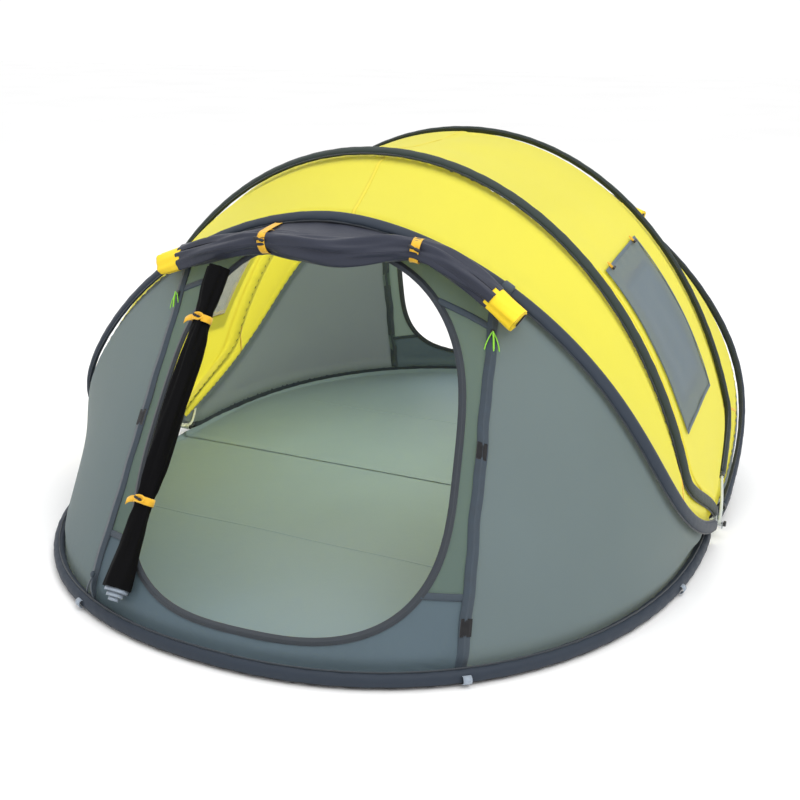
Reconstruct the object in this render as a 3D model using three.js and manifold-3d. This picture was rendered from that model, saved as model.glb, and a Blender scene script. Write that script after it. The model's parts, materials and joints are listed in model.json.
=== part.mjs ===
// A two-door pop-up dome tent: a flexible hoop lies on the ground, two low and two high hoops
// spring up from one pivot at each side, and fabric is stretched between them.
// Millimetres. +X to the right along the line between the two pivots, +Y to the back, +Z up.
// The origin is on the ground, under the middle of the tent.
import * as THREE from 'three';
import { mergeVertices } from 'three/addons/utils/BufferGeometryUtils.js';
import Module from 'manifold-3d';

const wasm = await Module();
wasm.setup();
const { Manifold, Mesh } = wasm;

// ---- hoops: half-loops that start and end at the side pivots ----
const PIVOT_HEIGHT = 45;
const GROUND_HEIGHT = 22; // middle of the ground pole
const GROUND = { halfWidth: 953, reach: 1385, widest: 185, power: 2.2 };
// curl: how early a hoop leans forward above its pivot (0 starts upright)
const LOW = { halfWidth: 975, reach: 963, widest: 50, power: 1.81, tilt: 84, forward: 597, rise: 582, curl: 3.5 };
const HIGH = { halfWidth: 980, reach: 1105, widest: -190, power: 2.03, tilt: 88, forward: 350, rise: 270, curl: 0 };
const POLE = 9; // diameter
const BARE_END = 0.05; // share of a hoop with no sleeve at each end

// ---- pivots: six pole eyes side by side on each pin ----
const EYES = { low: [918, -930], ground: [942, -954], high: [966, -978] }; // right and left ends
const EYE = { diameter: 18, width: 9.5, bore: 6.8 };
const PIN = 5.4;

// ---- fabric ----
const FABRIC = 3; // stands for one layer of cloth
const EDGE = 20.5; // fabric stops this far from a pole's middle, at the sleeve
const ZIP = { right: [0.37, 0.335], left: [0.626, 0.615] }; // where they meet the low and ground hoops
const ZIP_GAP = 4;
const TAPE = { width: 22, thickness: 1.6, lift: 1.4 };
const PULL_DOWN = 0.14; // share of the wall's height above an open zip's slider
const DOOR = { middle: 0.5, halfWidth: 0.44, halfHeight: 0.437, power: 3.2 }; // shares of its panel
const FIRST_STATION = { wall: 0, sideRoof: 2, middleRoof: 0 }; // where each panel begins
const WINDOW = { stations: [5, 8], rows: [1, 4] }; // cells of the middle roof left open
const FLAP = { beyondSides: 60, beyondEdges: 22 };
const SEAM_LAP = 45;

const UP = new THREE.Vector3(0, 0, 1);
const CENTRE = new THREE.Vector3(0, 0, PIVOT_HEIGHT);
const ease = (x) => THREE.MathUtils.smoothstep(x, 0, 1);
const lean = (x, curl) => (curl ? 1 - (1 - Math.min(x, 1)) ** curl : ease(x));
const mix = (a, b, s) => a.clone().lerp(b, s);
const steps = (n) => Array.from({ length: n + 1 }, (_, i) => i / n);

// Shares along a hoop's sleeve, closer together at the curved ends.
const STATIONS = steps(26).map((s) => BARE_END + (1 - 2 * BARE_END)
  * (s - 0.35 * Math.sin(2 * Math.PI * s) / (2 * Math.PI)));

// ---- hoop centre lines, from the right pivot (0) to the left one (1) ----
function hoop(spec, place) {
  const ratio = spec.widest / (spec.reach - spec.widest);
  const dip = Math.asin(Math.sign(ratio) * Math.abs(ratio) ** (spec.power / 2));
  const points = steps(400).map((s) => {
    const angle = -dip + (Math.PI + 2 * dip) * s;
    const c = Math.cos(angle);
    const d = Math.sin(angle);
    const across = spec.halfWidth * Math.sign(c) * Math.abs(c) ** (2 / spec.power);
    const out = spec.widest + (spec.reach - spec.widest) * Math.sign(d) * Math.abs(d) ** (2 / spec.power);
    return place(across, Math.max(out, 0));
  });
  const lengths = [0];
  points.slice(1).forEach((p, i) => lengths.push(lengths[i] + p.distanceTo(points[i])));
  const total = lengths.at(-1);
  const line = (t) => {
    const want = THREE.MathUtils.clamp(t, 0, 1) * total;
    const i = Math.max(1, lengths.findIndex((l) => l >= want - 1e-9));
    return mix(points[i - 1], points[i], (want - lengths[i - 1]) / (lengths[i] - lengths[i - 1] || 1));
  };
  line.total = total;
  return line;
}

function standing(spec) {
  const tilt = THREE.MathUtils.degToRad(spec.tilt);
  return hoop(spec, (across, out) => new THREE.Vector3(
    across,
    -out * Math.cos(tilt) - spec.forward * lean(out / spec.rise, spec.curl),
    PIVOT_HEIGHT + out * Math.sin(tilt),
  ));
}

const ground = hoop(GROUND, (across, out) => new THREE.Vector3(
  across, -out, PIVOT_HEIGHT + (GROUND_HEIGHT - PIVOT_HEIGHT) * ease(out / 150)));
const low = standing(LOW);
const high = standing(HIGH);
const turned = (line) => (t) => {
  const p = line(1 - t);
  return new THREE.Vector3(-p.x, -p.y, p.z);
};
const highRear = turned(high);

// ---- closed solids from points and faces ----
// A face seen from its other side, split into triangles along the same diagonal.
const flipped = ([first, ...others]) => [first, ...others.reverse()];

function solid(points, faces) {
  const corners = faces.flatMap((f) => (f.length === 4 ? [f[0], f[1], f[2], f[0], f[2], f[3]] : f));
  let volume = 0;
  for (let i = 0; i < corners.length; i += 3) {
    const [a, b, c] = [0, 1, 2].map((k) => points[corners[i + k]]);
    volume += a.dot(b.clone().cross(c));
  }
  if (volume < 0) corners.reverse();
  const geometry = new THREE.BufferGeometry();
  geometry.setAttribute('position', new THREE.Float32BufferAttribute(points.flatMap((p) => p.toArray()), 3));
  geometry.setIndex(corners);
  geometry.computeVertexNormals();
  return geometry;
}

// A sheet of faces made thick: faces on both sides, and a wall along every free edge.
function thicken(points, normals, faces, thickness, lift = 0) {
  const n = points.length;
  const side = (d) => points.map((p, i) => p.clone().addScaledVector(normals[i], lift + d * thickness / 2));
  const edges = new Map();
  faces.forEach((f) => f.forEach((a, k) => edges.set(`${a},${f[(k + 1) % f.length]}`, true)));
  const walls = [...edges.keys()].map((e) => e.split(',').map(Number))
    .filter(([a, b]) => !edges.has(`${b},${a}`))
    .map(([a, b]) => [b, a, a + n, b + n]);
  const all = [...faces, ...faces.map((f) => flipped(f.map((a) => a + n))), ...walls];
  const used = [...new Set(all.flat())].sort((a, b) => a - b);
  const place = new Map(used.map((old, now) => [old, now]));
  const both = [...side(1), ...side(-1)];
  return solid(used.map((i) => both[i]), all.map((f) => f.map((a) => place.get(a))));
}

// surface(u, v) as a thick panel over lists of u and v; open(i, j) leaves cells out.
function panel(surface, us, vs, { thickness = FABRIC, lift = 0, open = () => false } = {}) {
  const points = us.flatMap((u) => vs.map((v) => surface(u, v)));
  const normals = us.flatMap((u) => vs.map((v) => outward(surface, u, v)));
  const faces = [];
  for (let i = 0; i + 1 < us.length; i++) {
    for (let j = 0; j + 1 < vs.length; j++) {
      const a = i * vs.length + j;
      if (!open(i, j)) faces.push([a, a + 1, a + 1 + vs.length, a + vs.length]);
    }
  }
  return thicken(points, normals, faces, thickness, lift);
}

function normalAt(surface, u, v) {
  const h = 1e-3;
  const du = surface(u + h, v).sub(surface(u - h, v));
  const dv = surface(u, v + h).sub(surface(u, v - h));
  return du.cross(dv).normalize();
}

// The side that faces away from the tent's middle, taken once for the whole surface.
function outward(surface, u, v) {
  const inside = normalAt(surface, 0.5, 0.5).dot(surface(0.5, 0.5).sub(CENTRE)) < 0;
  return normalAt(surface, u, v).multiplyScalar(inside ? -1 : 1);
}

// Rings of points swept along centres; flat is the width along the fabric, deep is across it.
function rings(centres, flat, deep, sides) {
  return centres.map((c, i) => {
    const along = centres[Math.min(i + 1, centres.length - 1)].clone()
      .sub(centres[Math.max(i - 1, 0)]).normalize();
    const out = c.clone().sub(CENTRE);
    out.addScaledVector(along, -out.dot(along)).normalize();
    const across = along.clone().cross(out);
    return Array.from({ length: sides }, (_, k) => {
      const a = 2 * Math.PI * (k + 0.5) / sides;
      return c.clone().addScaledVector(across, flat / 2 * Math.cos(a)).addScaledVector(out, deep / 2 * Math.sin(a));
    });
  });
}

function rod(centres, flat, deep, sides) {
  const all = rings(centres, flat, deep, sides);
  const points = all.flat();
  const faces = [];
  for (let i = 0; i + 1 < all.length; i++) {
    for (let k = 0; k < sides; k++) {
      const l = (k + 1) % sides;
      faces.push([i * sides + k, i * sides + l, (i + 1) * sides + l, (i + 1) * sides + k]);
    }
  }
  const last = (all.length - 1) * sides;
  points.push(centres[0].clone(), centres.at(-1).clone());
  for (let k = 0; k < sides; k++) {
    const l = (k + 1) % sides;
    faces.push([points.length - 2, l, k], [points.length - 1, last + k, last + l]);
  }
  return solid(points, faces);
}

// A sleeve is a tube that is open at both ends.
function tube(centres, outer, inner, sides) {
  const skins = [rings(centres, ...outer, sides), rings(centres, ...inner, sides)];
  const n = centres.length * sides;
  const faces = [];
  for (let i = 0; i < centres.length; i++) {
    for (let k = 0; k < sides; k++) {
      const l = (k + 1) % sides;
      const [a, b] = [i * sides + k, i * sides + l];
      if (i + 1 < centres.length) {
        const skin = [a, b, b + sides, a + sides];
        faces.push(skin, flipped(skin.map((corner) => corner + n)));
      }
      if (i === 0) faces.push([b, a, n + a, n + b]);
      if (i === centres.length - 1) faces.push([a, b, n + b, n + a]);
    }
  }
  return solid(skins.flat(2), faces);
}

function toManifold(geometry) {
  return new Manifold(new Mesh({
    numProp: 3,
    vertProperties: new Float32Array(geometry.attributes.position.array),
    triVerts: new Uint32Array(geometry.index.array),
  }));
}

function fromManifold(shape) {
  const { numProp, vertProperties, triVerts } = shape.getMesh();
  const points = [];
  for (let i = 0; i < vertProperties.length; i += numProp) {
    points.push(new THREE.Vector3(...vertProperties.slice(i, i + 3)));
  }
  const faces = [];
  for (let i = 0; i < triVerts.length; i += 3) faces.push([...triVerts.slice(i, i + 3)]);
  return solid(points, faces);
}

// A round bar along X on the pivots' axis.
function roundBar(diameter, length, x) {
  const bar = new THREE.CylinderGeometry(diameter / 2, diameter / 2, length, 16);
  bar.rotateZ(Math.PI / 2).translate(x, 0, PIVOT_HEIGHT);
  bar.deleteAttribute('normal');
  bar.deleteAttribute('uv');
  return toManifold(mergeVertices(bar));
}

// A pole with an eye at each end, which goes round the pivot pin.
function pole(line, eyes) {
  const first = 6 / line.total;
  const bare = steps(5).slice(0, 5).map((s) => first + (BARE_END - first) * s);
  const centres = [...bare, ...STATIONS, ...bare.map((t) => 1 - t).reverse()].map((t) => {
    const p = line(t);
    const eye = t < 0.5 ? eyes[0] : eyes[1];
    p.x += (eye - p.x) * (1 - ease(Math.min(t, 1 - t) / BARE_END));
    return p;
  });
  let shape = toManifold(rod(centres, POLE, POLE, 6));
  for (const x of eyes) {
    shape = shape.add(roundBar(EYE.diameter, EYE.width, x)).subtract(roundBar(EYE.bore, 3 * EYE.width, x));
  }
  return fromManifold(shape);
}

function sleeve(line, flat, deep) {
  return tube(STATIONS.map(line), [flat, deep], [flat - 5, deep - 5], 6);
}

// ---- fabric between two hoops ----
// u runs along the hoops between the shares given for each, v from the first hoop to the second.
function between(first, second, [u0, u1], [w0, w1] = [u0, u1]) {
  return (u, v) => {
    const [s, t] = [u0 + (u1 - u0) * u, w0 + (w1 - w0) * u];
    const [a, b] = [first(s), second(t)];
    const [start, end] = [edgeShare(first, s, a, b), edgeShare(second, t, b, a)];
    return mix(a, b, start + (1 - start - end) * v);
  };
}

// How much of the way from a hoop to the next is inside its sleeve, where they aren't square.
function edgeShare(line, t, here, there) {
  const way = there.clone().sub(here);
  const along = line(t + 0.004).sub(line(t - 0.004)).normalize();
  return Math.min(0.35, EDGE / way.cross(along).length());
}

const wallEnd = STATIONS[FIRST_STATION.wall];
const rightWall = between(low, ground, [wallEnd, ZIP.right[0]], [wallEnd, ZIP.right[1]]);
const doorWall = between(low, ground, [ZIP.right[0], ZIP.left[0]], [ZIP.right[1], ZIP.left[1]]);
const leftWall = between(low, ground, [ZIP.left[0], 1 - wallEnd], [ZIP.left[1], 1 - wallEnd]);
const wholeWall = between(low, ground, [0, 1]);
const sideRoof = between(low, high, [0, 1]);
const middleRoof = between(high, highRear, [0, 1]);

// The stations between two shares of a hoop, with the two shares themselves.
function stationsBetween(from, to) {
  return [from, ...STATIONS.filter((t) => t > from + 0.008 && t < to - 0.008), to];
}
const roofStations = (first) => STATIONS.slice(first, STATIONS.length - first);

function sideWall(surface, from, to, zipIsLast) {
  const gap = ZIP_GAP / 1250;
  const us = stationsBetween(from, to).map((t) => (t - from) / (to - from));
  if (zipIsLast) us[us.length - 1] -= gap;
  else us[0] += gap;
  return panel(surface, us, steps(3));
}

// The panel round the doorway: rings of points from the opening out to the panel's edge.
function doorFrame() {
  const around = 44;
  const width = doorWall(1, 0.5).distanceTo(doorWall(0, 0.5));
  const points = [];
  const normals = [];
  const faces = [];
  for (const out of [0, 0.5, 1]) {
    for (let k = 0; k < around; k++) {
      const a = 2 * Math.PI * (k + 0.5) / around;
      const [c, s] = [Math.cos(a), Math.sin(a)];
      const most = Math.max(Math.abs(c), Math.abs(s));
      const bend = (x) => Math.sign(x) * Math.abs(x) ** (2 / DOOR.power);
      const inner = [DOOR.middle + DOOR.halfWidth * bend(c), 0.5 + DOOR.halfHeight * bend(s)];
      const outer = [0.5 + (0.5 - ZIP_GAP / width) * c / most, 0.5 + 0.5 * s / most];
      const [u, v] = [0, 1].map((m) => inner[m] + (outer[m] - inner[m]) * out);
      points.push(doorWall(u, v));
      normals.push(outward(doorWall, u, v));
    }
  }
  for (let ring = 0; ring < 2; ring++) {
    for (let k = 0; k < around; k++) {
      const l = (k + 1) % around;
      faces.push([ring * around + k, ring * around + l, (ring + 1) * around + l, (ring + 1) * around + k]);
    }
  }
  return thicken(points, normals, faces, FABRIC);
}

function zipTape(side) {
  const u = side === 'right' ? 0 : 1;
  const strip = (s, v) => {
    const p = doorWall(u, v);
    const across = doorWall(u + 1e-3, v).sub(doorWall(u - 1e-3, v)).normalize();
    return p.addScaledVector(across, (s - 0.5) * TAPE.width);
  };
  const lift = FABRIC / 2 + TAPE.lift + TAPE.thickness / 2;
  return panel(strip, [0, 1], [0.02, 0.25, 0.5, 0.75, 0.98], { thickness: TAPE.thickness, lift });
}

// ---- frame at a point of a wall: across, up the wall, and out of it ----
function wallFrame(surface, u, v) {
  const out = outward(surface, u, v);
  const up = surface(u, v - 0.01).sub(surface(u, v + 0.01)).normalize();
  return { at: surface(u, v), out, up, across: up.clone().cross(out) };
}

// A slider with its pull cord, flat against the tape.
function zipPull(side) {
  const { at, out, up, across } = wallFrame(doorWall, side === 'right' ? 0 : 1, PULL_DOWN);
  const shape = new THREE.Shape([[-7, 9], [7, 9], [7, -9], [3, -9], [3, -74], [-3, -74], [-3, -9], [-7, -9]]
    .map(([x, y]) => new THREE.Vector2(x, y)));
  const outline = new THREE.ExtrudeGeometry(shape, { depth: 5, bevelEnabled: false });
  const height = FABRIC / 2 + TAPE.lift + TAPE.thickness + 0.8;
  const place = new THREE.Matrix4().makeBasis(across, up, out)
    .setPosition(at.clone().addScaledVector(out, height));
  return outline.applyMatrix4(place);
}

// ---- rolled doors ----
// The outer door is rolled up under the low hoop. Each point is a share along the hoop and a
// share of the way down the wall.
const ROLL = { diameter: 72, border: 80, borderLength: 115, out: 46 };
const ROLL_PATH = [[0.35, 0.072], [0.39, 0.052], [0.43, 0.047], [0.482, 0.094], [0.539, 0.079],
  [0.585, 0.072], [0.641, 0.052]];
const STRAP_POINTS = [2, 4];

const rollCurve = new THREE.CatmullRomCurve3(ROLL_PATH.map(([t, v]) => {
  const { at, out } = wallFrame(wholeWall, t, v);
  return at.addScaledVector(out, ROLL.out);
}));
const rollLength = rollCurve.getLength();

function rollPart(from, to, diameter, pieces) {
  const centres = steps(pieces).map((s) => rollCurve.getPointAt((from + (to - from) * s) / rollLength));
  return rod(centres, diameter, diameter * 0.9, 10);
}

// A band that goes round something at a point of a curve.
function band(centre, along, inner, outer, width) {
  const aside = UP.clone().cross(along).normalize();
  const top = along.clone().cross(aside).normalize();
  const points = [];
  const faces = [];
  const sides = 16;
  for (const [radius, end] of [[inner, -1], [inner, 1], [outer, 1], [outer, -1]]) {
    for (let k = 0; k < sides; k++) {
      const a = 2 * Math.PI * k / sides;
      points.push(centre.clone().addScaledVector(aside, radius[0] * Math.cos(a))
        .addScaledVector(top, radius[1] * Math.sin(a)).addScaledVector(along, end * width / 2));
    }
  }
  for (let ring = 0; ring < 4; ring++) {
    for (let k = 0; k < sides; k++) {
      const l = (k + 1) % sides;
      const next = (ring + 1) % 4;
      faces.push([ring * sides + k, ring * sides + l, next * sides + l, next * sides + k]);
    }
  }
  return solid(points, faces);
}

function rollStrap(point) {
  const s = point / (ROLL_PATH.length - 1);
  return band(rollCurve.getPoint(s), rollCurve.getTangent(s), [41, 39], [43.5, 41.5], 24);
}

function toggle(point) {
  const s = point / (ROLL_PATH.length - 1);
  const front = UP.clone().cross(rollCurve.getTangent(s)).normalize();
  if (front.y > 0) front.negate();
  const middle = rollCurve.getPoint(s).addScaledVector(front, 49);
  const ends = [-17, 17].map((d) => middle.clone().addScaledVector(UP, d));
  return rod(ends, 9, 9, 8);
}

// The inner mesh door is rolled up beside the doorway and tied at two places.
const MESH_ROLL = { diameter: 54, u: [0.815, 0.865], from: 0.16, to: 0.93, out: 36 };
const TIES = [0.26, 0.72];
const meshRollPoint = (v) => {
  const { at, out } = wallFrame(doorWall, MESH_ROLL.u[0] + (MESH_ROLL.u[1] - MESH_ROLL.u[0]) * v, v);
  return at.addScaledVector(out, MESH_ROLL.out);
};

function meshRoll() {
  const centres = steps(12).map((s) => meshRollPoint(MESH_ROLL.from + (MESH_ROLL.to - MESH_ROLL.from) * s));
  return rod(centres, MESH_ROLL.diameter, MESH_ROLL.diameter, 10);
}

function meshTie(v) {
  const along = meshRollPoint(v + 0.01).sub(meshRollPoint(v - 0.01)).normalize();
  const inner = MESH_ROLL.diameter / 2 + 0.6;
  return band(meshRollPoint(v), along, [inner, inner], [inner + 2.2, inner + 2.2], 20);
}

// ---- floor: two halves that overlap at a seam between the pivots ----
function floorHalf(isFront) {
  const columns = 18;
  const inset = 21;
  const edge = (x) => GROUND.widest + (GROUND.reach - inset - GROUND.widest)
    * (1 - Math.abs(x / (GROUND.halfWidth - inset)) ** GROUND.power) ** (1 / GROUND.power);
  // distance from the seam, underside and top
  const seam = isFront
    ? [[-SEAM_LAP, 0, 1.2], [0, 0, 1.2], [0.4, 0, FABRIC]]
    : [[0.8, 1.7, 4.7], [SEAM_LAP + 1, 1.7, 4.7], [SEAM_LAP + 6, 0, FABRIC]];
  const rows = [...seam, ...[0.5, 1].map((share) => [share, 0, FABRIC])];
  const points = [[], []];
  for (let i = 0; i <= columns; i++) {
    const x = -912 * Math.cos(Math.PI * i / columns);
    rows.forEach(([d, low0, top0], j) => {
      const y = j < seam.length ? d : d * edge(x);
      points[0].push(new THREE.Vector3(x, -y, low0));
      points[1].push(new THREE.Vector3(x, -y, top0));
    });
  }
  const n = points[0].length;
  const faces = [];
  for (let i = 0; i < columns; i++) {
    for (let j = 0; j + 1 < rows.length; j++) {
      const a = i * rows.length + j;
      faces.push([a, a + 1, a + 1 + rows.length, a + rows.length]);
    }
  }
  const edges = new Set(faces.flatMap((f) => f.map((a, k) => `${a},${f[(k + 1) % 4]}`)));
  const walls = [...edges].map((e) => e.split(',').map(Number))
    .filter(([a, b]) => !edges.has(`${b},${a}`)).map(([a, b]) => [b, a, a + n, b + n]);
  return solid(points.flat(), [...faces, ...faces.map((f) => flipped(f.map((a) => a + n))), ...walls]);
}

// ---- windows in the ends of the middle roof ----
const ROOF_ROWS = 6;

function roofMiddle() {
  const us = roofStations(FIRST_STATION.middleRoof);
  const [from, to] = WINDOW.stations.map((k) => k - FIRST_STATION.middleRoof);
  const inWindow = (i, j) => i >= from && i < to && j >= WINDOW.rows[0] && j < WINDOW.rows[1];
  const open = (i, j) => inWindow(i, j) || inWindow(us.length - 2 - i, ROOF_ROWS - 1 - j);
  return panel(middleRoof, us, steps(ROOF_ROWS), { open });
}

// A sheet over a window, larger than it by the given amounts along and across the roof.
function windowSheet(along, across, lift, thickness) {
  const du = along / high.total;
  const dv = across / 720;
  const [u0, u1] = WINDOW.stations.map((k) => STATIONS[k]);
  const [v0, v1] = WINDOW.rows.map((row) => row / ROOF_ROWS);
  const us = stationsBetween(u0 - du, u1 + du);
  const vs = [v0 - dv, v0, ...[2, 3].map((row) => row / ROOF_ROWS), v1, v1 + dv];
  return panel(middleRoof, us, vs, { lift, thickness });
}

// ---- pivot hardware ----
function pivotPin() {
  const pin = roundBar(PIN, 80, 950).add(roundBar(15, 5, 909)).add(roundBar(17, 7, 993));
  return fromManifold(pin);
}

function pivotRing() {
  const ring = new THREE.TorusGeometry(11, 1.4, 6, 14);
  ring.rotateY(Math.PI / 2).translate(986.2, 0, PIVOT_HEIGHT - 6.4);
  return ring;
}

// ---- the whole tent ----
const COLOURS = {
  yellow: 0xf2e24e, grey: 0x768589, panel: 0x6f7f79, floor: 0x87968c, navy: 0x4d5d6b, green: 0x3c4b41,
  pole: 0xc9cdc8, door: 0x4f5362, dark: 0x16161a, mesh: 0x2b2c30, lime: 0x9fd23c, amber: 0xf5c21d, steel: 0xb4b8bb,
};

function add(parent, name, geometry, colour) {
  const material = new THREE.MeshStandardMaterial({ color: COLOURS[colour], roughness: 0.8 });
  const mesh = new THREE.Mesh(geometry, material);
  mesh.name = name;
  parent.add(mesh);
}

// Everything that the front and rear have alike; the rear is the front turned round.
function addHalf(group, end) {
  add(group, `ground_pole_${end}`, pole(ground, EYES.ground), 'pole');
  add(group, `low_pole_${end}`, pole(low, EYES.low), 'pole');
  add(group, `high_pole_${end}`, pole(high, EYES.high), 'pole');
  add(group, `ground_sleeve_${end}`, sleeve(ground, 36, 34), 'navy');
  add(group, `low_sleeve_${end}`, sleeve(low, 32, 20), 'navy');
  add(group, `high_sleeve_${end}`, sleeve(high, 32, 20), 'green');

  add(group, `wall_${end}_right`, sideWall(rightWall, wallEnd, ZIP.right[0], true), 'grey');
  add(group, `wall_${end}_left`, sideWall(leftWall, ZIP.left[0], 1 - wallEnd, false), 'grey');
  add(group, `door_frame_${end}`, doorFrame(), 'panel');
  add(group, `roof_${end}`, panel(sideRoof, roofStations(FIRST_STATION.sideRoof), steps(2)), 'yellow');
  for (const side of ['right', 'left']) {
    add(group, `zip_tape_${end}_${side}`, zipTape(side), 'navy');
    add(group, `zip_pull_${end}_${side}`, zipPull(side), 'lime');
  }

  const inner = ROLL.borderLength;
  add(group, `door_roll_${end}`, rollPart(inner + 3, rollLength - inner - 3, ROLL.diameter, 14), 'door');
  add(group, `roll_border_${end}_right`, rollPart(0, inner, ROLL.border, 3), 'yellow');
  add(group, `roll_border_${end}_left`, rollPart(rollLength - inner, rollLength, ROLL.border, 3), 'yellow');
  STRAP_POINTS.forEach((point, i) => {
    add(group, `roll_strap_${end}_${i + 1}`, rollStrap(point), 'amber');
    add(group, `roll_toggle_${end}_${i + 1}`, toggle(point), 'dark');
  });
  add(group, `mesh_roll_${end}`, meshRoll(), 'dark');
  TIES.forEach((v, i) => add(group, `mesh_tie_${end}_${i + 1}`, meshTie(v), 'amber'));
  add(group, `floor_${end}`, floorHalf(end === 'front'), 'floor');

  // each turned half has the window, the pin and the ring at its own right-hand side
  const side = end === 'front' ? 'right' : 'left';
  add(group, `window_mesh_${side}`, windowSheet(14, 14, -FABRIC - 1, 1.6), 'mesh');
  add(group, `window_flap_${side}`, windowSheet(FLAP.beyondSides, FLAP.beyondEdges, FABRIC + 1, 2), 'grey');
  add(group, `pivot_pin_${side}`, pivotPin(), 'dark');
  add(group, `pivot_ring_${side}`, pivotRing(), 'steel');
}

const group = new THREE.Group();
group.name = 'dome_tent';
const front = new THREE.Group();
const rear = new THREE.Group();
rear.rotation.z = Math.PI;
addHalf(front, 'front');
addHalf(rear, 'rear');
group.add(front, rear);
add(group, 'roof_middle', roofMiddle(), 'yellow');

export default group;
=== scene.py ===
"""A two-door pop-up dome tent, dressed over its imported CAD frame.

Metres, in the frame's own axes: +X to the right along the line between the pivots, +Y to the
back, +Z up. The rear half is the front half turned half round about Z.
"""

import json
import math

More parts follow.
